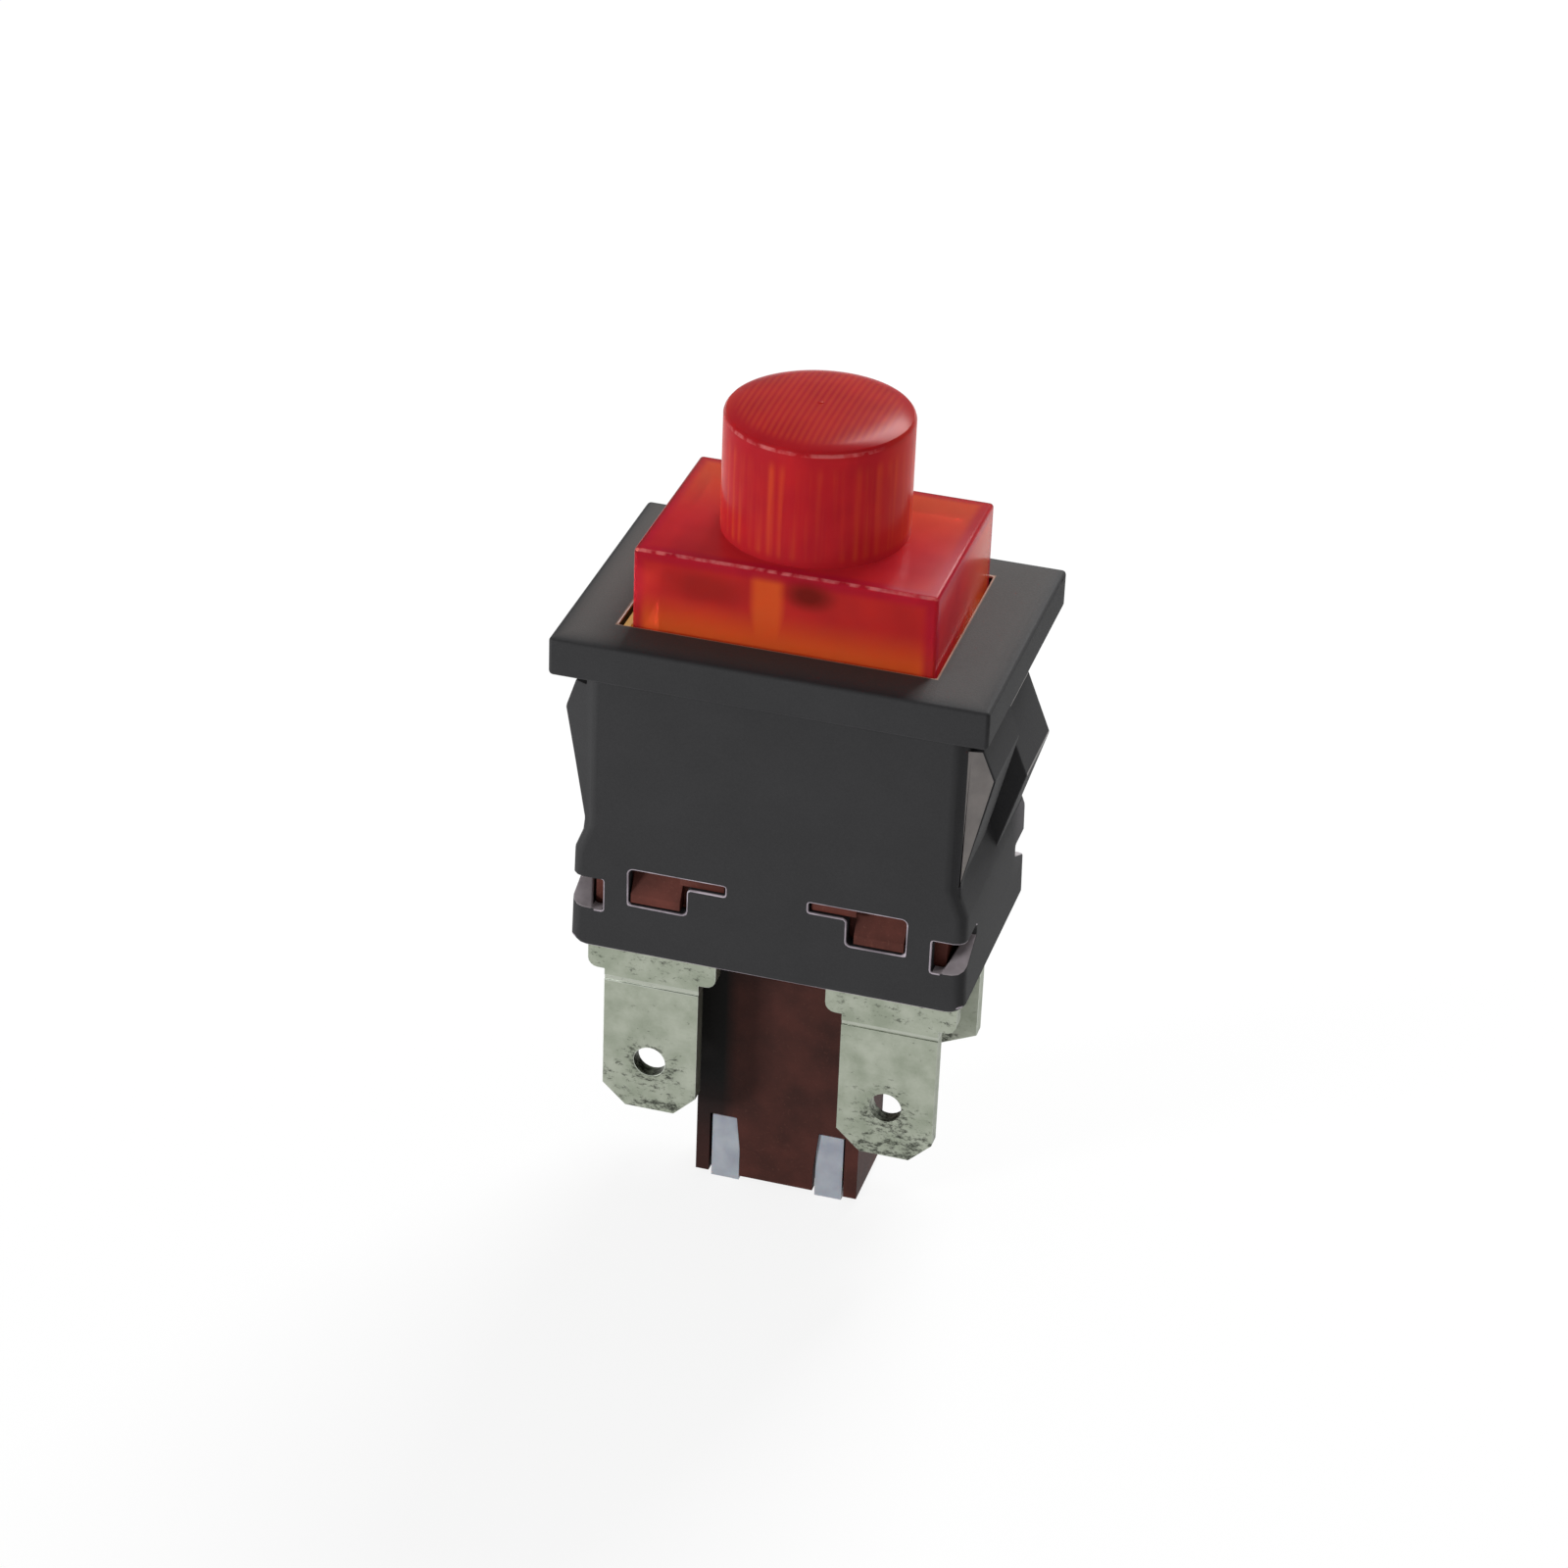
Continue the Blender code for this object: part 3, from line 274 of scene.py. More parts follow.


# Polystyrene lens from a polished mould: milky crimson, with painted light: deeper at its solid edges, as
# refraction there looks, and painted orange where the amber frame lies behind it. Places are in mm.
def makeRedLens():
    look = {
        "tones": ((0.3, "a31f2a"), (0.75, "b4272c")), "cloudMm": 2.5, "cloudDetail": 2,
        "scratchMm": 1.2, "scratchDetail": 6, "roughness": (0.2, 0.27),
        "half": (7.24, 5.15, 6.08), "onBox": (6.18, 6.58, 1.0, 0.0), "onCap": (6.2, 6.6),
        "onFront": (-5.12, -4.9, 1.0, 0.0), "onWall": (4.9, 5.12), "offWall": (4.9, 5.12, 1.0, 0.0),
        "edge": "9c1430", "edgeBand": (0.3, 0.75, 0.75, 0.0),
        "glow": "d8622a", "footZ": (2.1, 4.2, 0.85, 0.08), "backY": (-1.5, 5.0, 0.0, 0.5),
        "ribLeft": (-1.8, -1.2, 0.0, 0.8), "ribRight": (-0.3, 0.3, 1.0, 0.0), "ribTop": (5.4, 6.1, 1.0, 0.0),
        "flutes": 48, "fluteStretch": (1, 1, 0.06), "fluteDetail": 3, "fluteBreaks": (0.42, 0.68),
        "dashMm": 0.5, "fluteTop": (10.6, 11.4, 0.4, 0.0), "capEnds": (3.4, 4.4, 0.0, 0.14),
        "roofRibMm": 0.31, "roofZ": (11.7, 11.9, 0.0, 0.24), "roofRadius": (3.5, 4.1, 1.0, 0.0),
        "shade": "5e1c16", "shadeFade": (0.2, 1.0), "shadeEdge": (0.1, 0.3, 0.65, 0.0),
        "shadePatches": (((1.2, 5.1), (1.6, 1.0), 0.9), ((-3.7, 4.6), (2.6, 1.2), 0.4)),
        "leftEdge": (-7.17, 0, 6.03), "rearEdge": (0, 5.12, 6.03), "frontEdge": (0, -5.1, 6.03),
        "paintedHighlight": "d98c8c", "highlightDetail": 2, "highlightBreaks": (0.36, 0.6), "frontEdgeHighlight": (0.05, 0.12, 0.62, 0.0),
        "capRim": (4.43, 0, 11.76), "rimHighlight": (0.05, 0.12, 0.5, 0.0), "rimFront": (-3.2, -2.2, 1.0, 0.0),
        "pipedZ": (11.5, 11.9, 0.21, 0.05), "pipedFront": (-5.12, -4.9, 0.55, 1.0),
    }
    material, shader, point = startMaterial("red_polystyrene_lens", {
        "IOR": 1.22, "Specular IOR Level": 0.06, "Specular Tint": linearColour("ff9a90"),
        "Transmission Weight": 0.5, "Coat Weight": 0.0, "Subsurface Weight": 0.4,
        "Subsurface Scale": 1.2 * mm, "Subsurface Radius": (1.0, 0.2, 0.12)})
    y, z = addNode(material, "SeparateXYZ", {"Vector": point}).outputs[1:]
    colour = addClouds(material, point, look)[1]
    glow = lensGlow(material, point, look)
    colour = addNode(material, "Mix", {
        "data_type": "RGBA", "Factor": glow, "A": colour, "B": linearColour(look["glow"])})
    # Painted: the solid edges deepen to magenta, as light refracted through them looks
    fades = [(depthFromEdge(material, point, look), look["edgeBand"]), (z, look["onBox"])]
    colour = tintPatch(material, colour, look["edge"], fades, "SMOOTHSTEP")
    # Painted shade: dark patches where the room behind the front wall lies in shadow; their middle, how far
    # they reach along X and Z, and their strength
    for (middleX, middleZ), (reachX, reachZ), strength in look["shadePatches"]:
        squeezed = addNode(material, "VectorMath", {
            "operation": "MULTIPLY", 0: point, 1: (1 / reachX, 0, 1 / reachZ)})
        away = addNode(material, "VectorMath", {
            "operation": "DISTANCE", 0: squeezed, 1: (middleX / reachX, 0, middleZ / reachZ)})
        fades = [(away, (*look["shadeFade"], strength, 0.0)), (y, look["onFront"])]
        colour = tintPatch(material, colour, look["shade"], fades, "SMOOTHSTEP")
    # How far a point is from three of the box's top edges, each seen along its own length
    fromEdge = {}
    for name, section in (("leftEdge", (1, 0, 1)), ("rearEdge", (0, 1, 1)), ("frontEdge", (0, 1, 1))):
        flat = addNode(material, "VectorMath", {"operation": "MULTIPLY", 0: point, 1: section})
        fromEdge[name] = addNode(material, "VectorMath", {"operation": "DISTANCE", 0: flat, 1: look[name]})
    # The far top edges look dark: there the light is turned back inside
    nearest = addNode(material, "Math", {
        "operation": "MINIMUM", 0: fromEdge["leftEdge"], 1: fromEdge["rearEdge"]})
    colour = tintPatch(material, colour, look["shade"], [(nearest, look["shadeEdge"])], "SMOOTHSTEP")
    # Painted highlights: broken pale lines along the box's front top edge and the cap's front rim
    highlightNoise = addNode(material, "TexNoise", {
        "Vector": point, "Scale": 1 / look["dashMm"], "Detail": look["highlightDetail"]})
    dashes = addNode(material, "MapRange", {"range": look["highlightBreaks"], "Value": highlightNoise})
    fades = [(fromEdge["frontEdge"], look["frontEdgeHighlight"])]
    colour = tintPatch(material, colour, look["paintedHighlight"], fades, "SMOOTHSTEP", dashes)
    flat = addNode(material, "VectorMath", {"operation": "MULTIPLY", 0: point, 1: (1, 1, 0)})
    radius = addNode(material, "VectorMath", {"operation": "LENGTH", 0: flat})
    section = addNode(material, "CombineXYZ", {"X": radius, "Z": z})
    fromRim = addNode(material, "VectorMath", {"operation": "DISTANCE", 0: section, 1: look["capRim"]})
    fades = [(fromRim, look["rimHighlight"]), (y, look["rimFront"])]
    colour = tintPatch(material, colour, look["paintedHighlight"], fades, "SMOOTHSTEP", dashes)
    # Painted glow: emission in the lens's own colour evens out the walls' shaded sides, as light piped up
    # them would
    piped = patchShare(material, [(z, look["pipedZ"])])
    piped = patchShare(material, [(y, look["pipedFront"])], "SMOOTHSTEP", piped)
    scratches = addNode(material, "TexNoise", {
        "Vector": point, "Scale": 1 / look["scratchMm"], "Detail": look["scratchDetail"]})
    addGrain(material, shader, scratches, look)
    fillNode(shader, {"Base Color": colour, "Emission Color": colour, "Emission Strength": piped})
    return material


# Amber polycarbonate diffuser from a matt mould: warm and lets some light through; its emission is a painted
# glow for the lamp's light
def makeAmber():
    look = {"tones": ((0.3, "bd9436"), (0.7, "d9b850")), "cloudMm": 1.8, "cloudDetail": 3,
            "grainMm": 0.12, "grainDetail": 2, "roughness": (0.28, 0.42)}
    material, shader, point = startMaterial("amber_polycarbonate", {
        "IOR": 1.58, "Transmission Weight": 0.3,
        "Emission Color": linearColour("c89028"), "Emission Strength": 0.2})
    colour = addClouds(material, point, look)[1]
    grain = addNode(material, "TexNoise", {
        "Vector": point, "Scale": 1 / look["grainMm"], "Detail": look["grainDetail"]})
    addGrain(material, shader, grain, look)
    fillNode(shader, {"Base Color": colour})
    return material


# Unpigmented nylon 6: milky white, a little see-through at thin edges
def makeWhiteNylon():
    look = {"tones": ((0.3, "8e929d"), (0.7, "a8adb4")), "cloudMm": 1.2, "cloudDetail": 3,
            "grainMm": 0.1, "grainDetail": 2, "roughness": (0.4, 0.55), "bump": (0.2, 0.01)}
    material, shader, point = startMaterial("white_nylon_moulded", {
        "IOR": 1.53, "Subsurface Weight": 0.25, "Subsurface Scale": 0.5 * mm})
    colour = addClouds(material, point, look)[1]
    grain = addNode(material, "TexNoise", {
        "Vector": point, "Scale": 1 / look["grainMm"], "Detail": look["grainDetail"]})
    addGrain(material, shader, grain, look)
    fillNode(shader, {"Base Color": colour})
    return material


# Tin-plated brass gone dull: a grey-green film in soft patches, brushed dashes, and dark dirt at the tips
def makeTarnishedTin():
    look = {
        "tones": ((0.36, "949b8b"), (0.66, "adb2a4")),
        "cloudMm": 1.5, "cloudDetail": 8, "cloudRoughness": 0.6, "roughness": (0.42, 0.6),
        "bump": (0.3, 0.012), "dashMm": 0.16, "dashDetail": 4, "dashStretch": (0.22, 1, 1),
        "scored": "b6baaf", "scoreAt": -17.8, "scoreWidth": (0.07, 0.091, 0.8, 0.0),
        "dirt": "2e2f2a", "dirtMm": 0.36, "dirtDetail": 9, "dirtRoughness": 0.8, "dirtStretch": (0.55, 1, 1),
        "dirtShows": (0.61, 0.71, 0.0, 0.88), "shoulder": -17.0,
        "gather": ((0.0, 0.15), (0.14, 0.07), (0.3, 0.05), (0.5, 0.01), (0.9, 0.02), (1.0, 0.07)),
        "hole": (6.0, 0, -22.25), "nearHole": (0.7, 2.0, 0.1, 0.0),
        "rightTipX": (4.5, 7.5, 0.0, 0.07), "rightTipZ": (-23.8, -22.9, 1.0, 0.0),
    }
    material, shader, point = startMaterial("tarnished_tin_plate", {"Metallic": 1.0})
    place = addNode(material, "SeparateXYZ", {"Vector": point}).outputs
    x, z = place["X"], place["Z"]
    colour = addClouds(material, point, look)[1]
    brushed = addNode(material, "Mapping", {"Vector": point, "Scale": look["dashStretch"]})
    dashes = addNode(material, "TexNoise", {
        "Vector": brushed, "Scale": 1 / look["dashMm"], "Detail": look["dashDetail"]})
    addGrain(material, shader, dashes, look)
    # A scored line crosses each tab under its shoulder
    above = addNode(material, "Math", {"operation": "SUBTRACT", 0: z, 1: look["scoreAt"]})
    away = addNode(material, "Math", {"operation": "ABSOLUTE", 0: above})
    colour = tintPatch(material, colour, look["scored"], [(away, look["scoreWidth"])])
    # Dirt gathers toward the tip, at the shoulder, round the hole and most of all at the right tab's tip
    lying = addNode(material, "Mapping", {"Vector": point, "Scale": look["dirtStretch"]})
    dirt = addNode(material, "TexNoise", {
        "Vector": lying, "Scale": 1 / look["dirtMm"], "Detail": look["dirtDetail"],
        "Roughness": look["dirtRoughness"]})
    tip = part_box("terminal_front_left")[0][2] / mm
    height = addNode(material, "MapRange", {"range": (tip, look["shoulder"]), "Value": z})
    stops = [(place, grey(share)) for place, share in look["gather"]]
    gathered = addNode(material, "ValToRGB", {"Fac": height, "stops": stops})
    offMiddle = addNode(material, "Math", {"operation": "ABSOLUTE", 0: x})
    mirrored = addNode(material, "CombineXYZ", {"X": offMiddle, "Z": z})
    fromHole = addNode(material, "VectorMath", {"operation": "DISTANCE", 0: mirrored, 1: look["hole"]})
    nearHole = patchShare(material, [(fromHole, look["nearHole"])])
    atRightTip = patchShare(material, [(x, look["rightTipX"]), (z, look["rightTipZ"])])
    for share in (gathered, nearHole, atRightTip):
        dirt = addNode(material, "Math", {"operation": "ADD", 0: dirt, 1: share})
    colour = tintPatch(material, colour, look["dirt"], [(dirt, look["dirtShows"])])
    fillNode(shader, {"Base Color": colour})
    return material


# Plain metals: drawn wire, rolled strip and headed rivets, told apart by colour and streaks
def makeMetal(name, dark, light, roughness, streakMm, stretch):
    look = {"tones": ((0.3, dark), (0.7, light)), "cloudMm": streakMm, "cloudDetail": 4,
            "roughness": (roughness, roughness + 0.15)}
    material, shader, point = startMaterial(name, {"Metallic": 1.0})
    drawn = addNode(material, "Mapping", {"Vector": point, "Scale": stretch})
    clouds, colour = addClouds(material, drawn, look)
    addGrain(material, shader, clouds, look)
    fillNode(shader, {"Base Color": colour})
    return material


# Soda-lime lamp envelope: clear, with the faint ripple of drawn glass
def makeLampGlass():
    look = {"glass": "f3eee6", "rippleMm": 0.9, "roughness": (0.03, 0.12)}
    material, shader, point = startMaterial("soda_lime_lamp_glass", {
        "IOR": 1.51, "Transmission Weight": 0.9, "Base Color": linearColour(look["glass"])})
    ripple = addNode(material, "TexNoise", {"Vector": point, "Scale": 1 / look["rippleMm"]})
    addGrain(material, shader, ripple, look)
    return material


# Lacquered resistor: sand-coloured body with four plain colour bands along Y, as shares of its length
def makeResistorLacquer():
    look = {"body": "c8ad82", "bands": (
        (0.14, 0.22, "9a5a2c"), (0.34, 0.42, "2b2b2e"), (0.54, 0.62, "9a5a2c"), (0.78, 0.86, "c9a23a"))}
    material, shader, point = startMaterial("lacquered_resistor", {"IOR": 1.5, "Roughness": 0.35})
    place = addNode(material, "SeparateXYZ", {"Vector": point}).outputs
    low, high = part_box("lamp_resistor")
    along = addNode(material, "MapRange", {"range": (low[1] / mm, high[1] / mm), "Value": place["Y"]})
    body = linearColour(look["body"])
    stops = [(0.0, body)]
    for start, end, band in look["bands"]:
        stops += [(start, linearColour(band)), (end, body)]
    bands = addNode(material, "ValToRGB", {"Fac": along, "stops": stops})
    bands.color_ramp.interpolation = "CONSTANT"
    fillNode(shader, {"Base Color": bands})
    return material


# Matt card on the studio table, seen as white, that keeps a soft shadow
def makeStudioFloor():
    look = {"card": "f4f4f4", "roughness": 0.9, "white": 0.86}
    material, shader = startMaterial("studio_card", {
        "Roughness": look["roughness"], "Base Color": linearColour(look["card"])})[:2]
    rays = addNode(material, "LightPath", {}).outputs
    seen = addNode(material, "Math", {
        "operation": "MAXIMUM", 0: rays["Is Camera Ray"], 1: rays["Is Glossy Ray"]})
    seen = addNode(material, "Math", {"operation": "MAXIMUM", 0: seen, 1: rays["Is Transmission Ray"]})
    share = addNode(material, "Math", {"operation": "MULTIPLY", 0: seen, 1: look["white"]})
    white = addNode(material, "Emission", {"Color": grey(1.0), "Strength": 1.0})
    mixed = addNode(material, "MixShader", {0: share, 1: shader, 2: white})
    fillNode(material.node_tree.nodes["Material Output"], {"Surface": mixed})
    return material


def onlySelect(piece):
    bpy.ops.object.select_all(action="DESELECT")
    piece.select_set(True)
    bpy.context.view_layer.objects.active = piece


def finishPlace(piece, name):
    piece.name = name
    piece.data.name = name
    onlySelect(piece)
    bpy.ops.object.transform_apply(location=True, rotation=True, scale=True)
    return piece


def addBox(name, low, high):
    bpy.ops.object.select_all(action="DESELECT")
    centre = [(a + b) / 2 * mm for a, b in zip(low, high)]
    span = [(b - a) * mm for a, b in zip(low, high)]
    bpy.ops.mesh.primitive_cube_add(size=1, location=centre, scale=span)
    return finishPlace(bpy.context.object, name)


def addRod(name, radius, foot, top, sides, centre=(0, 0)):
    bpy.ops.object.select_all(action="DESELECT")
    place = (centre[0] * mm, centre[1] * mm, (foot + top) / 2 * mm)
    bpy.ops.mesh.primitive_cylinder_add(
        vertices=sides, radius=radius * mm, depth=(top - foot) * mm, location=place)
    return finishPlace(bpy.context.object, name)


def applyModifier(piece, kind, **settings):
    onlySelect(piece)
    modifier = piece.modifiers.new(kind.lower(), kind)
    for key, value in settings.items():
        setattr(modifier, key, value)
    bpy.ops.object.modifier_apply(modifier=modifier.name)


def joinTo(piece, other, operation):
    applyModifier(piece, "BOOLEAN", object=other, operation=operation, solver="EXACT")
    bpy.data.objects.remove(other, do_unlink=True)


# Joins a box to a piece in front and again behind, where depth is its reach from the middle
def joinPair(piece, across, depth, height):
    for facing in (-1, 1):
        near, away = sorted(facing * reach for reach in depth)
        joinTo(piece, addBox("block", (across[0], near, height[0]), (across[1], away, height[1])), "UNION")


def softenEdges(piece, width, segments=2, angle=30, edgeMaterial=-1, clamp=True):
    applyModifier(piece, "BEVEL", width=width * mm, segments=segments, limit_method="ANGLE",
                  angle_limit=math.radians(angle), miter_outer="MITER_ARC", material=edgeMaterial,
                  use_clamp_overlap=clamp)


def smoothPiece(piece, angle=30):
    onlySelect(piece)
    bpy.ops.object.shade_smooth_by_angle(angle=math.radians(angle))


# Smooth shading that keeps flat faces flat between rounded edges
def evenShading(piece):
    smoothPiece(piece)
    applyModifier(piece, "WEIGHTED_NORMAL", mode="FACE_AREA", weight=90, keep_sharp=True)


# Selects the points, edges or faces that chosen picks, and stays in edit mode
def selectParts(piece, kind, chosen):
    onlySelect(piece)
    bpy.ops.object.mode_set(mode="EDIT")
    bpy.ops.mesh.select_all(action="DESELECT")
    bpy.ops.mesh.select_mode(type=kind)
    bpy.ops.object.mode_set(mode="OBJECT")
    parts = {"VERT": piece.data.vertices, "EDGE": piece.data.edges, "FACE": piece.data.polygons}
    for part in parts[kind]:
        part.select = chosen(part)
    bpy.ops.object.mode_set(mode="EDIT")


def selectAll(piece):
    onlySelect(piece)
    bpy.ops.object.mode_set(mode="EDIT")
    bpy.ops.mesh.select_all(action="SELECT")


def facesUp(face):
    return face.normal.z > 0.9


# Draws the selected top inward and up, step by step
def riseInward(steps):
    for inward, upward in steps:
        bpy.ops.mesh.inset(thickness=inward * mm)
        bpy.ops.transform.translate(value=(0, 0, upward * mm))


# Where a point is, in mm, and how far it is off the middle planes
def placeFacts(point):
    return {"x": point.x, "y": point.y, "z": point.z, "offX": abs(point.x), "offY": abs(point.y)}


def isWithin(facts, limits):
    return all(low < facts[name] < high for name, (low, high) in limits.items())


# Rounds the edges whose middle, length and direction are within the limits
def roundEdges(piece, width, segments, limits):
    def isChosen(edge):
        start, end = [piece.data.vertices[index].co / mm for index in edge.vertices]
        along = end - start
        facts = placeFacts((start + end) / 2)
        facts.update({"length": along.length, "alongY": abs(along.normalized().y)})
        return isWithin(facts, limits)

    selectParts(piece, "EDGE", isChosen)
    bpy.ops.mesh.bevel(offset=width * mm, segments=segments, affect="EDGES")
    bpy.ops.object.mode_set(mode="OBJECT")


# Joins points that lie almost together, so that a bevel meets no sliver that it would spread into a spike
def weldPoints(piece, width):
    selectAll(piece)
    bpy.ops.mesh.remove_doubles(threshold=width * mm)
    bpy.ops.mesh.dissolve_degenerate(threshold=width * mm)
    bpy.ops.object.mode_set(mode="OBJECT")


def dress(piece, body, slot, nodes, *materials):
    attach(piece, body)
    if nodes:
        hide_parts(*nodes)
    piece.data.materials.clear()
    for material in materials:
        piece.data.materials.append(material)


# A CAD solid's own shape, merged back to whole faces, so that its edges can be worked on
def takeSolid(node, name):
    merge = {"distance": 0.0005, "angle": 0.6}
    bpy.ops.object.select_all(action="DESELECT")
    piece = bpy.data.objects.new(name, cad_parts[node].data.copy())
    scene.collection.objects.link(piece)
    piece.data.materials.clear()
    selectAll(piece)
    bpy.ops.mesh.remove_doubles(threshold=merge["distance"] * mm)
    bpy.ops.mesh.customdata_custom_splitnormals_clear()
    bpy.ops.mesh.dissolve_limited(angle_limit=math.radians(merge["angle"]))
    bpy.ops.object.mode_set(mode="OBJECT")
    return piece


# Metals take their dark and light tones, roughness, streak width in mm, and the scale of X, Y and Z that
# draws the streaks out
print("materials")
blackNylon = makeBlackNylon()
# Painted light: paler nylon for the edge highlights, the opening's rim highlight, the lit cheek facet and the
# lit sills
edgeHighlight = makePaintedLightNylon("black_nylon_edge_highlight", "7d747c", "aba1aa")
rimHighlight = makePaintedLightNylon("black_nylon_rim_highlight", "8a6c5c", "b58e7c")  # painted highlight along the opening's edge
paintedCheekLight = makePaintedLightNylon("black_nylon_cheek_light", "5f5a58", "706a67")  # painted light on the lit cheek facet and painted highlights on the rear finger's edges
# Painted light on the corner windows' lit sills
paintedSillLight = makePaintedLightNylon("black_nylon_sill_light", "7d7679", "989094")
brownPhenolic = makeBrownPhenolic()
redLens = makeRedLens()
amber = makeAmber()
whiteNylon = makeWhiteNylon()
tarnishedTin = makeTarnishedTin()
# Painted highlight: paler tin on the tabs' bevelled edges
tinEdgeHighlight = makeMetal("tin_edge_highlight", "a9afa4", "cdd2c8", 0.36, 0.4, (1, 1, 1))
silver = makeMetal("fine_silver_rivet", "b9b6ae", "dedcd6", 0.25, 0.4, (1, 1, 1))
brass = makeMetal("rolled_brass_strip", "b08d4c", "d8b877", 0.28, 0.15, (1, 0.08, 1))
springSteel = makeMetal("drawn_spring_wire", "85878a", "b9babb", 0.3, 0.12, (1, 1, 0.3))
tinnedWire = makeMetal("tinned_copper_wire", "a39e95", "d0ccc4", 0.3, 0.2, (1, 1, 1))
lampGlass = makeLampGlass()
resistorLacquer = makeResistorLacquer()


# Rounds the bezel's outer top edge: cuts away what stands over a block whose top falls off toward its rim
def crownBezel(housing):
    size = {"length": 21.0, "depth": 15.0, "rim": 1.86, "cutLow": (-12, -9, 1.2), "cutHigh": (12, 9, 3),
            "fall": ((0.12, 0.08), (0.18, 0.07), (0.25, 0.05), (0.3, 0.03), (0.4, 0.01)), "above": 2}
    halfX, halfY = size["length"] / 2, size["depth"] / 2
    cutter = addBox("cutter", size["cutLow"], size["cutHigh"])
    block = addBox("block", (-halfX, -halfY, 0), (halfX, halfY, size["rim"]))
    selectParts(block, "FACE", facesUp)
    riseInward(size["fall"])
    bpy.ops.mesh.extrude_region_move(TRANSFORM_OT_translate={"value": (0, 0, size["above"] * mm)})
    bpy.ops.object.mode_set(mode="OBJECT")
    joinTo(cutter, block, "DIFFERENCE")
    joinTo(housing, cutter, "DIFFERENCE")


# Closes the cheek onto the body, where no gap shows: its slanted face runs on to the body's round corner
def closeCheeks(housing):
    size = {"reach": (8.9, 9.22), "front": -5.8, "back": -4.9, "foot": -9.2, "top": 0.3,
            "slope": (0.6, -1.22), "through": (9.2, -5.6)}
    for side in (-1, 1):
        left, right = sorted(side * reach for reach in size["reach"])
        low, high = (left, size["front"], size["foot"]), (right, size["back"], size["top"])
        filler = addBox("filler", low, high)
        selectAll(filler)
        place = (side * size["through"][0] * mm, size["through"][1] * mm, 0)
        outward = (side * size["slope"][0], size["slope"][1], 0)
        bpy.ops.mesh.bisect(plane_co=place, plane_no=outward, use_fill=True, clear_outer=True)
        bpy.ops.object.mode_set(mode="OBJECT")
        joinTo(housing, filler, "UNION")


# Painted highlights, as pale lines on the bevels, stay only round the windows, along the foot, round the
# bezel's opening and on the rear finger
def makeHousing():
    size = {"edge": 0.08, "weld": 0.01, "windowCorner": 0.15, "window": (-13.4, -10.4)}
    corners = {"z": size["window"], "offX": (2.5, 7.2), "offY": (5, far), "alongY": (0.9, far),
               "length": (0.01, far)}
    # A look, whether only bevelled edges take it, and where it is; a face takes the first that fits it
    zones = (
        (paintedCheekLight, False, {"x": (9.15, far), "y": (-far, -4.9), "z": (-8.6, -1),
                               "facingY": (0.85, 0.95), "up": (-0.05, 0.05)}),
        (paintedSillLight, False, {"offX": (8.2, 9.9), "offY": (3.7, far), "z": (-13.3, -11.4), "up": (0.6, far)}),
        (rimHighlight, True, {"offX": (-far, 7.95), "offY": (-far, 5.45), "z": (1.95, far)}),
        (paintedCheekLight, True, {"x": (9, far), "y": (0.5, far), "z": (-9.5, -2)}),
        (edgeHighlight, True, {"offX": (1.5, 8.5), "offY": (5.85, far), "z": size["window"]}),
        (edgeHighlight, True, {"x": (8.4, far), "offY": (3.7, far), "z": (-11.75, -11.4)}),
        (edgeHighlight, True, {"offY": (5.7, far), "z": (-far, -14.9), "facingY": (0.2, far)}),
    )
    looks = (blackNylon, edgeHighlight, rimHighlight, paintedCheekLight, paintedSillLight)
    housing = takeSolid("bezel_housing", "housing_shell")
    crownBezel(housing)
    closeCheeks(housing)
    roundEdges(housing, size["windowCorner"], 1, corners)
    weldPoints(housing, size["weld"])
    for look in looks:
        housing.data.materials.append(look)
    softenEdges(housing, size["edge"], edgeMaterial=looks.index(edgeHighlight), clamp=False)
    for face in housing.data.polygons:
        facts = placeFacts(face.center / mm)
        facts.update({"facingY": abs(face.normal.y), "up": face.normal.z})
        fitting = [look for look, onlyEdges, limits in zones
                   if (face.material_index or not onlyEdges) and isWithin(facts, limits)]
        face.material_index = looks.index(fitting[0]) if fitting else 0
    evenShading(housing)
    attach(housing, "housing")
    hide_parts("bezel_housing")
    print("housing", len(housing.data.polygons))


# Ribs stand in the window slits, and the column's walls follow the plunger's legs closely
def makeBase():
    size = {"edge": 0.07, "blocks": (
        {"x": (2.15, 4.35), "y": (5, 5.8), "z": (-11.1, -10.72)},
        {"x": (1.6, 1.9), "y": (1.85, 2.3), "z": (-29.72, -26)})}
    base = takeSolid("contact_base", "base_moulding")
    for side in (-1, 1):
        for block in size["blocks"]:
            joinPair(base, sorted(side * reach for reach in block["x"]), block["y"], block["z"])
    softenEdges(base, size["edge"])
    evenShading(base)
    dress(base, "housing", "brown_phenolic", ["contact_base"], brownPhenolic)
    print("contact base", len(base.data.polygons))


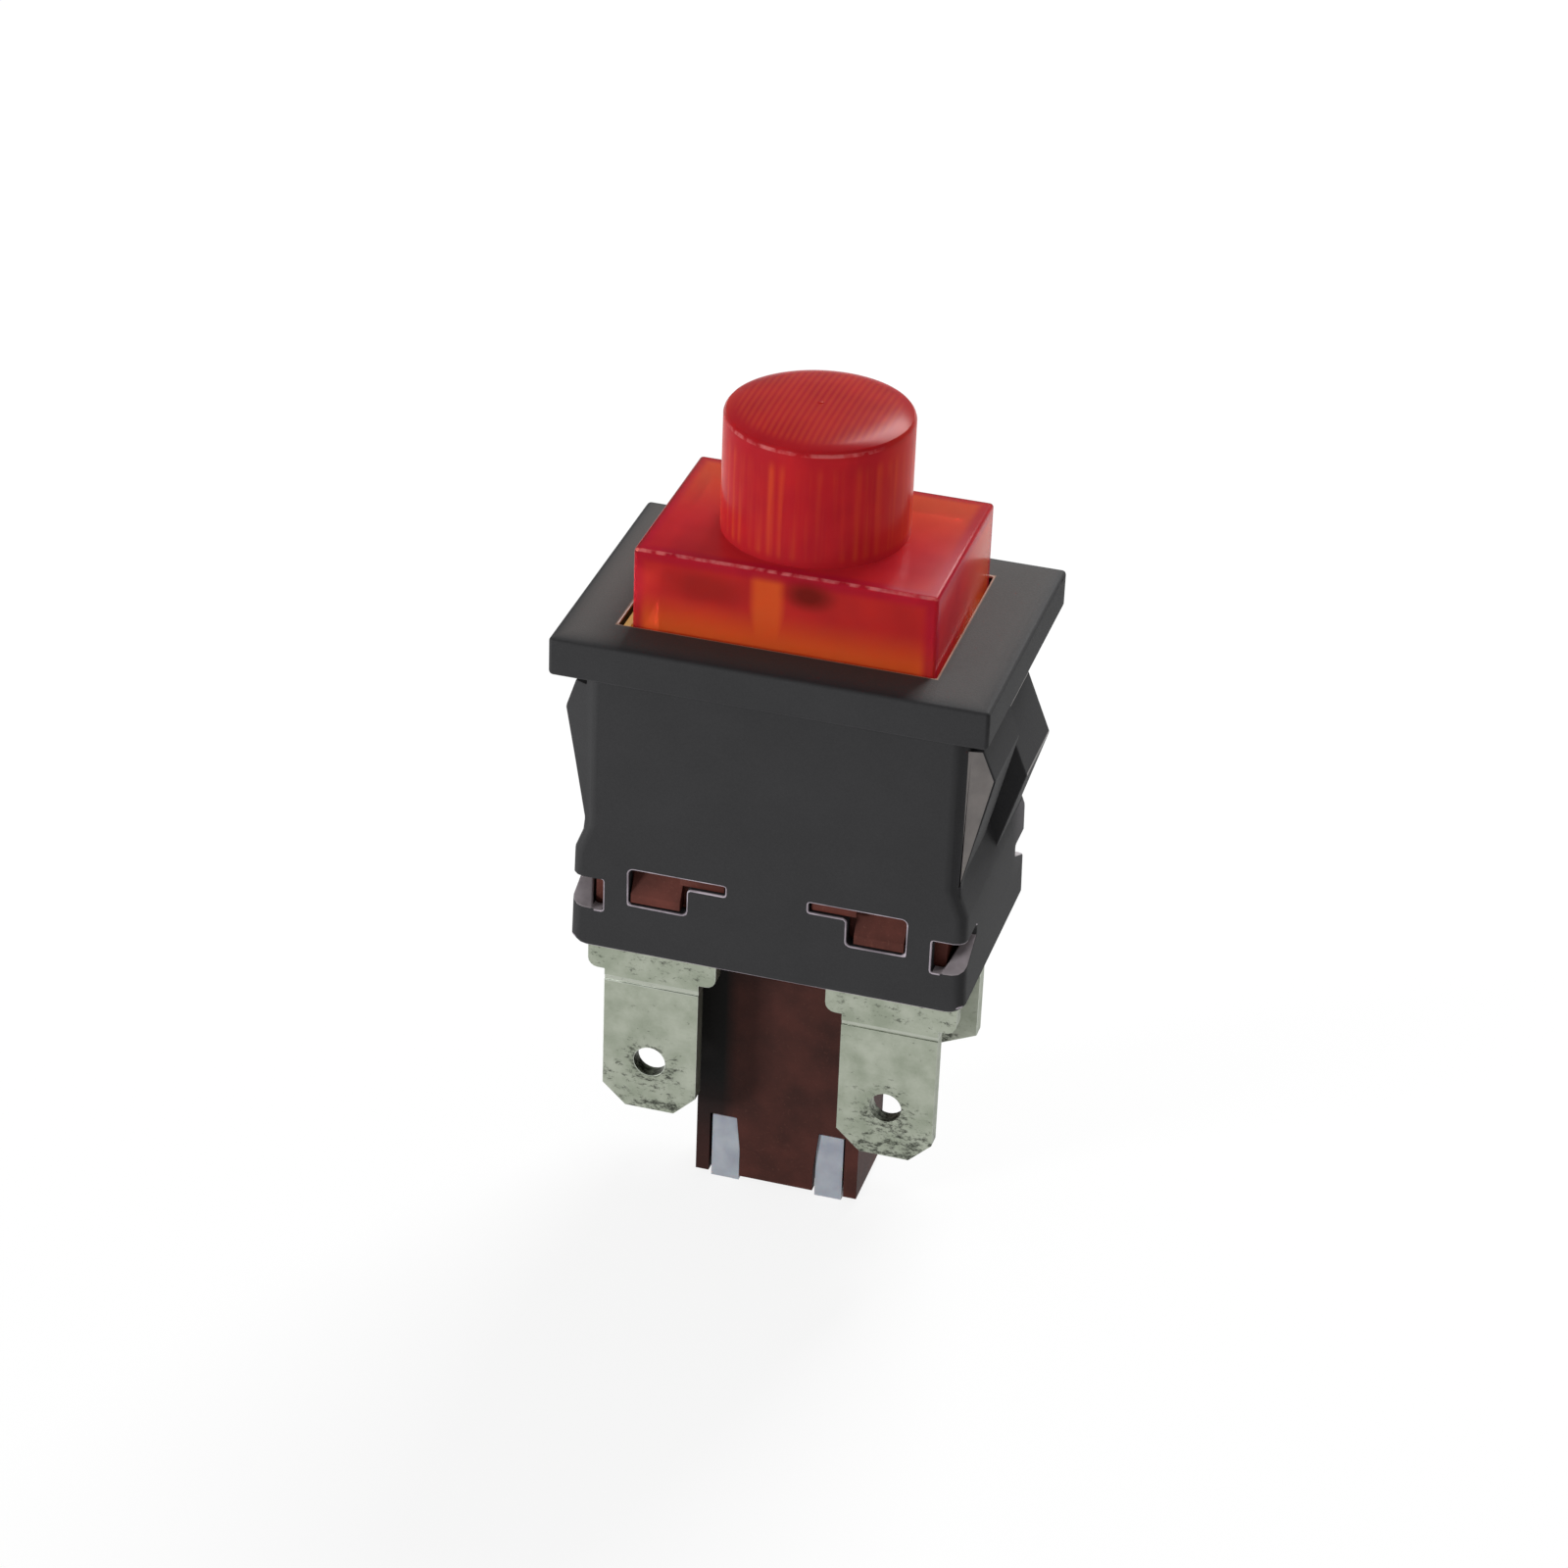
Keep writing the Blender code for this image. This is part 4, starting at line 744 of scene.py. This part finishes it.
def makeLens():
    size = {
        "length": 14.4, "depth": 10.3, "right": 0.08, "boxTop": 6.08, "edge": 0.2, "wall": 1.0,
        "roomEdge": 0.3, "gate": 0.13, "gateEdge": 0.04, "overlap": 0.5,
        "capRadius": 4.45, "shoulder": 11.72, "sides": 192,
        "dome": ((0.04, 0.12), (0.1, 0.12), (0.2, 0.09), (0.45, 0.1), (0.7, 0.09), (0.9, 0.07), (1.0, 0.03)),
        "bore": 3.5, "roof": 11.2, "flutes": 48, "fluteDepth": 0.16,
        "ribs": 22, "ribSpacing": 0.31, "ribRadius": 0.12, "ribLength": 8, "ribMargin": 0.3, "ribZone": 0.4,
    }
    foot, top = [corner[2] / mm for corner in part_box("button_lens")]
    halfX, halfY, wall = size["length"] / 2, size["depth"] / 2, size["wall"]
    lens = addBox("red_lens", (-halfX, -halfY, foot), (halfX + size["right"], halfY, size["boxTop"]))
    softenEdges(lens, size["edge"], segments=4, angle=40)
    cap = addRod("cap", size["capRadius"], size["boxTop"] - size["overlap"], size["shoulder"], size["sides"])
    selectParts(cap, "FACE", facesUp)
    riseInward(size["dome"])
    bpy.ops.object.mode_set(mode="OBJECT")
    joinTo(lens, cap, "UNION")
    low, high = (wall - halfX, wall - halfY, foot - wall), (halfX - wall, halfY - wall, size["boxTop"] - wall)
    room = addBox("room", low, high)
    softenEdges(room, size["roomEdge"], segments=3, angle=40)
    joinTo(lens, room, "DIFFERENCE")
    joinTo(lens, makeBore(size), "DIFFERENCE")
    gate = addRod("gate", size["gate"], top - size["overlap"], top, sides=16)
    softenEdges(gate, size["gateEdge"], angle=40)
    joinTo(lens, gate, "UNION")
    smoothPiece(lens, angle=24)
    dress(lens, "button", "red_lens", ["button_lens"], redLens)
    print("lens", len(lens.data.polygons))


# The cap's inside, as a cutter: a bore with flutes down its wall, and ribs under its roof
def makeBore(size):
    foot = size["boxTop"] - size["wall"] - size["overlap"]
    bore = addRod("bore", size["bore"], foot, size["roof"], sides=2 * size["flutes"])

    def isRidge(point):
        step = round(math.atan2(point.co.y, point.co.x) / (math.pi / size["flutes"]))
        return step % 2 == 0

    ridge = 1 - size["fluteDepth"] / size["bore"]
    selectParts(bore, "VERT", isRidge)
    bpy.ops.transform.resize(value=(ridge, ridge, 1), center_override=(0, 0, 0))
    bpy.ops.object.mode_set(mode="OBJECT")
    joinTo(bore, makeRoofRibs(size), "UNION")
    return bore


# Fine ribs under the cap's roof that spread the lamp's light, running front to back
def makeRoofRibs(size):
    bpy.ops.object.select_all(action="DESELECT")
    start = (-(size["ribs"] - 1) / 2 * size["ribSpacing"] * mm, 0, size["roof"] * mm)
    bpy.ops.mesh.primitive_cylinder_add(
        vertices=4, radius=size["ribRadius"] * mm, depth=size["ribLength"] * mm, location=start)
    ribs = bpy.context.object
    onlySelect(ribs)
    bpy.ops.transform.rotate(value=math.pi / 2, orient_axis="X", center_override=start)
    ribs = finishPlace(ribs, "ribs")
    applyModifier(ribs, "ARRAY", count=size["ribs"], use_relative_offset=False, use_constant_offset=True,
                  constant_offset_displace=(size["ribSpacing"] * mm, 0, 0))
    foot, top = size["roof"] - size["ribZone"], size["roof"] + size["ribZone"]
    joinTo(ribs, addRod("disc", size["bore"] - size["ribMargin"], foot, top, sides=64), "INTERSECT")
    return ribs


# The amber carrier has an upstand left of the button
def makeCarrier():
    size = {"edge": 0.08, "upstandLow": (-7.62, -5.1, 1.0), "upstandHigh": (-7.3, 5.1, 1.95)}
    carrier = takeSolid("diffuser_frame", "amber_carrier")
    joinTo(carrier, addBox("upstand", size["upstandLow"], size["upstandHigh"]), "UNION")
    softenEdges(carrier, size["edge"])
    evenShading(carrier)
    dress(carrier, "button", "amber_frame", ["diffuser_frame"], amber)
    print("carrier", len(carrier.data.polygons))


# The plunger's legs are widened to fill the slots in the column
def makePlunger():
    size = {"edge": 0.06, "legs": ((-2.3, -1.95), (2.0, 2.3)), "legDepth": (1.85, 2.2), "legTop": -26.35}
    slide = takeSolid("plunger", "nylon_plunger")
    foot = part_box("plunger")[0][2] / mm
    for across in size["legs"]:
        joinPair(slide, across, size["legDepth"], (foot, size["legTop"]))
    softenEdges(slide, size["edge"])
    evenShading(slide)
    dress(slide, "button", "white_nylon", ["plunger"], whiteNylon)
    print("plunger", len(slide.data.polygons))


def makeElectrodes():
    size = {"radius": 0.32, "off": 0.62, "foot": 0.6, "top": 7.6, "edge": 0.15}
    for side, sideName in ((-1, "left"), (1, "right")):
        centre = (side * size["off"], 0)
        name = "electrode_" + sideName
        electrode = addRod(name, size["radius"], size["foot"], size["top"], sides=24, centre=centre)
        softenEdges(electrode, size["edge"], segments=3, angle=40)
        smoothPiece(electrode)
        dress(electrode, "button", "tinned_wire", [], tinnedWire)
    print("lamp electrodes")


# A tab's lowest points are drawn in to the middle of the sheet, as coining does
def makeTabs():
    size = {"edge": 0.08, "coin": 0.62, "middle": 4.3, "tipHeight": 0.02}
    for facing, facingName in ((-1, "front"), (1, "rear")):
        for sideName in ("left", "right"):
            node = "terminal_" + facingName + "_" + sideName
            tab = takeSolid(node, "tab_" + facingName + "_" + sideName)
            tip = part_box(node)[0][2] + size["tipHeight"] * mm
            selectParts(tab, "VERT", lambda point: point.co.z < tip)
            middle = (0, facing * size["middle"] * mm, 0)
            bpy.ops.transform.resize(value=(1, size["coin"], 1), center_override=middle)
            bpy.ops.object.mode_set(mode="OBJECT")
            dress(tab, "housing", "tinned_brass", [node], tarnishedTin, tinEdgeHighlight)
            softenEdges(tab, size["edge"], edgeMaterial=1)
            evenShading(tab)
    print("tabs")


def dressCadNodes():
    looks = {
        "fixed_contact": silver, "moving_contact": silver, "bridge_spring": springSteel, "bridge": brass,
        "lamp_pad": brass, "lamp_spring": springSteel, "return_spring": springSteel, "latch": springSteel,
        "lamp_lead": tinnedWire, "neon_lamp": lampGlass, "lamp_resistor": resistorLacquer,
    }
    for nodeName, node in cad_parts.items():
        fitting = [material for start, material in looks.items() if nodeName.startswith(start)]
        for materialSlot in node.material_slots:
            if fitting:
                materialSlot.material = fitting[0]
    print("inner pieces")


makeHousing()
makeBase()
makeLens()
makeCarrier()
makePlunger()
makeElectrodes()
makeTabs()
dressCadNodes()


# Each softbox: its name, power in watts, place and width in metres
def makeStudio():
    size = {"floor": 3.0, "floorDrop": 0.05, "world": 0.39, "softboxes": (
        ("key", 2.6, (0.06, 0.37, 0.33), 0.2), ("side", 1.6, (-0.34, -0.3, 0.04), 0.09))}
    bpy.ops.object.select_all(action="DESELECT")
    foot = cadBox[0][2] - size["floorDrop"] * mm
    bpy.ops.mesh.primitive_plane_add(size=size["floor"], location=(0, 0, foot))
    floor = finishPlace(bpy.context.object, "studio_floor")
    floor.data.materials.append(makeStudioFloor())
    world = bpy.data.worlds.new("studio_air")
    world.use_nodes = True
    fillNode(world.node_tree.nodes["Background"], {"Color": grey(1.0), "Strength": size["world"]})
    scene.world = world
    for name, power, place, width in size["softboxes"]:
        bpy.ops.object.light_add(type="AREA", location=place)
        lamp = bpy.context.object
        lamp.name = name + "_softbox"
        lamp.data.size = width
        lamp.data.energy = power
        lamp.rotation_euler = (-Vector(place)).to_track_quat("-Z", "Y").to_euler()


# The camera's turn, rise and roll are in radians, its place in mm and its near limit in metres
def makeCamera():
    view = {"turn": 0.2674067727, "rise": 0.5289344168, "roll": 0.0402166061, "lens": 103.5,
            "place": (48.375, -180.277, 101.186), "sensor": 36, "near": 0.01}
    turn, rise, roll = view["turn"], view["rise"], view["roll"]
    right = Vector((math.cos(turn), math.sin(turn), 0))
    back = Vector((math.sin(turn) * math.cos(rise), -math.cos(turn) * math.cos(rise), math.sin(rise)))
    up = back.cross(right)
    rolledRight = math.cos(roll) * right + math.sin(roll) * up
    rolledUp = math.cos(roll) * up - math.sin(roll) * right
    place = Vector(view["place"]) * mm
    data = bpy.data.cameras.new("camera")
    data.lens = view["lens"]
    data.sensor_width = view["sensor"]
    data.clip_start = view["near"]
    camera = bpy.data.objects.new("camera", data)
    scene.collection.objects.link(camera)
    camera.matrix_world = Matrix((
        (rolledRight.x, rolledUp.x, back.x, place.x),
        (rolledRight.y, rolledUp.y, back.y, place.y),
        (rolledRight.z, rolledUp.z, back.z, place.z),
        (0, 0, 0, 1),
    ))
    scene.camera = camera


makeStudio()
makeCamera()
scene.view_settings.view_transform = "Standard"
print("studio and camera")
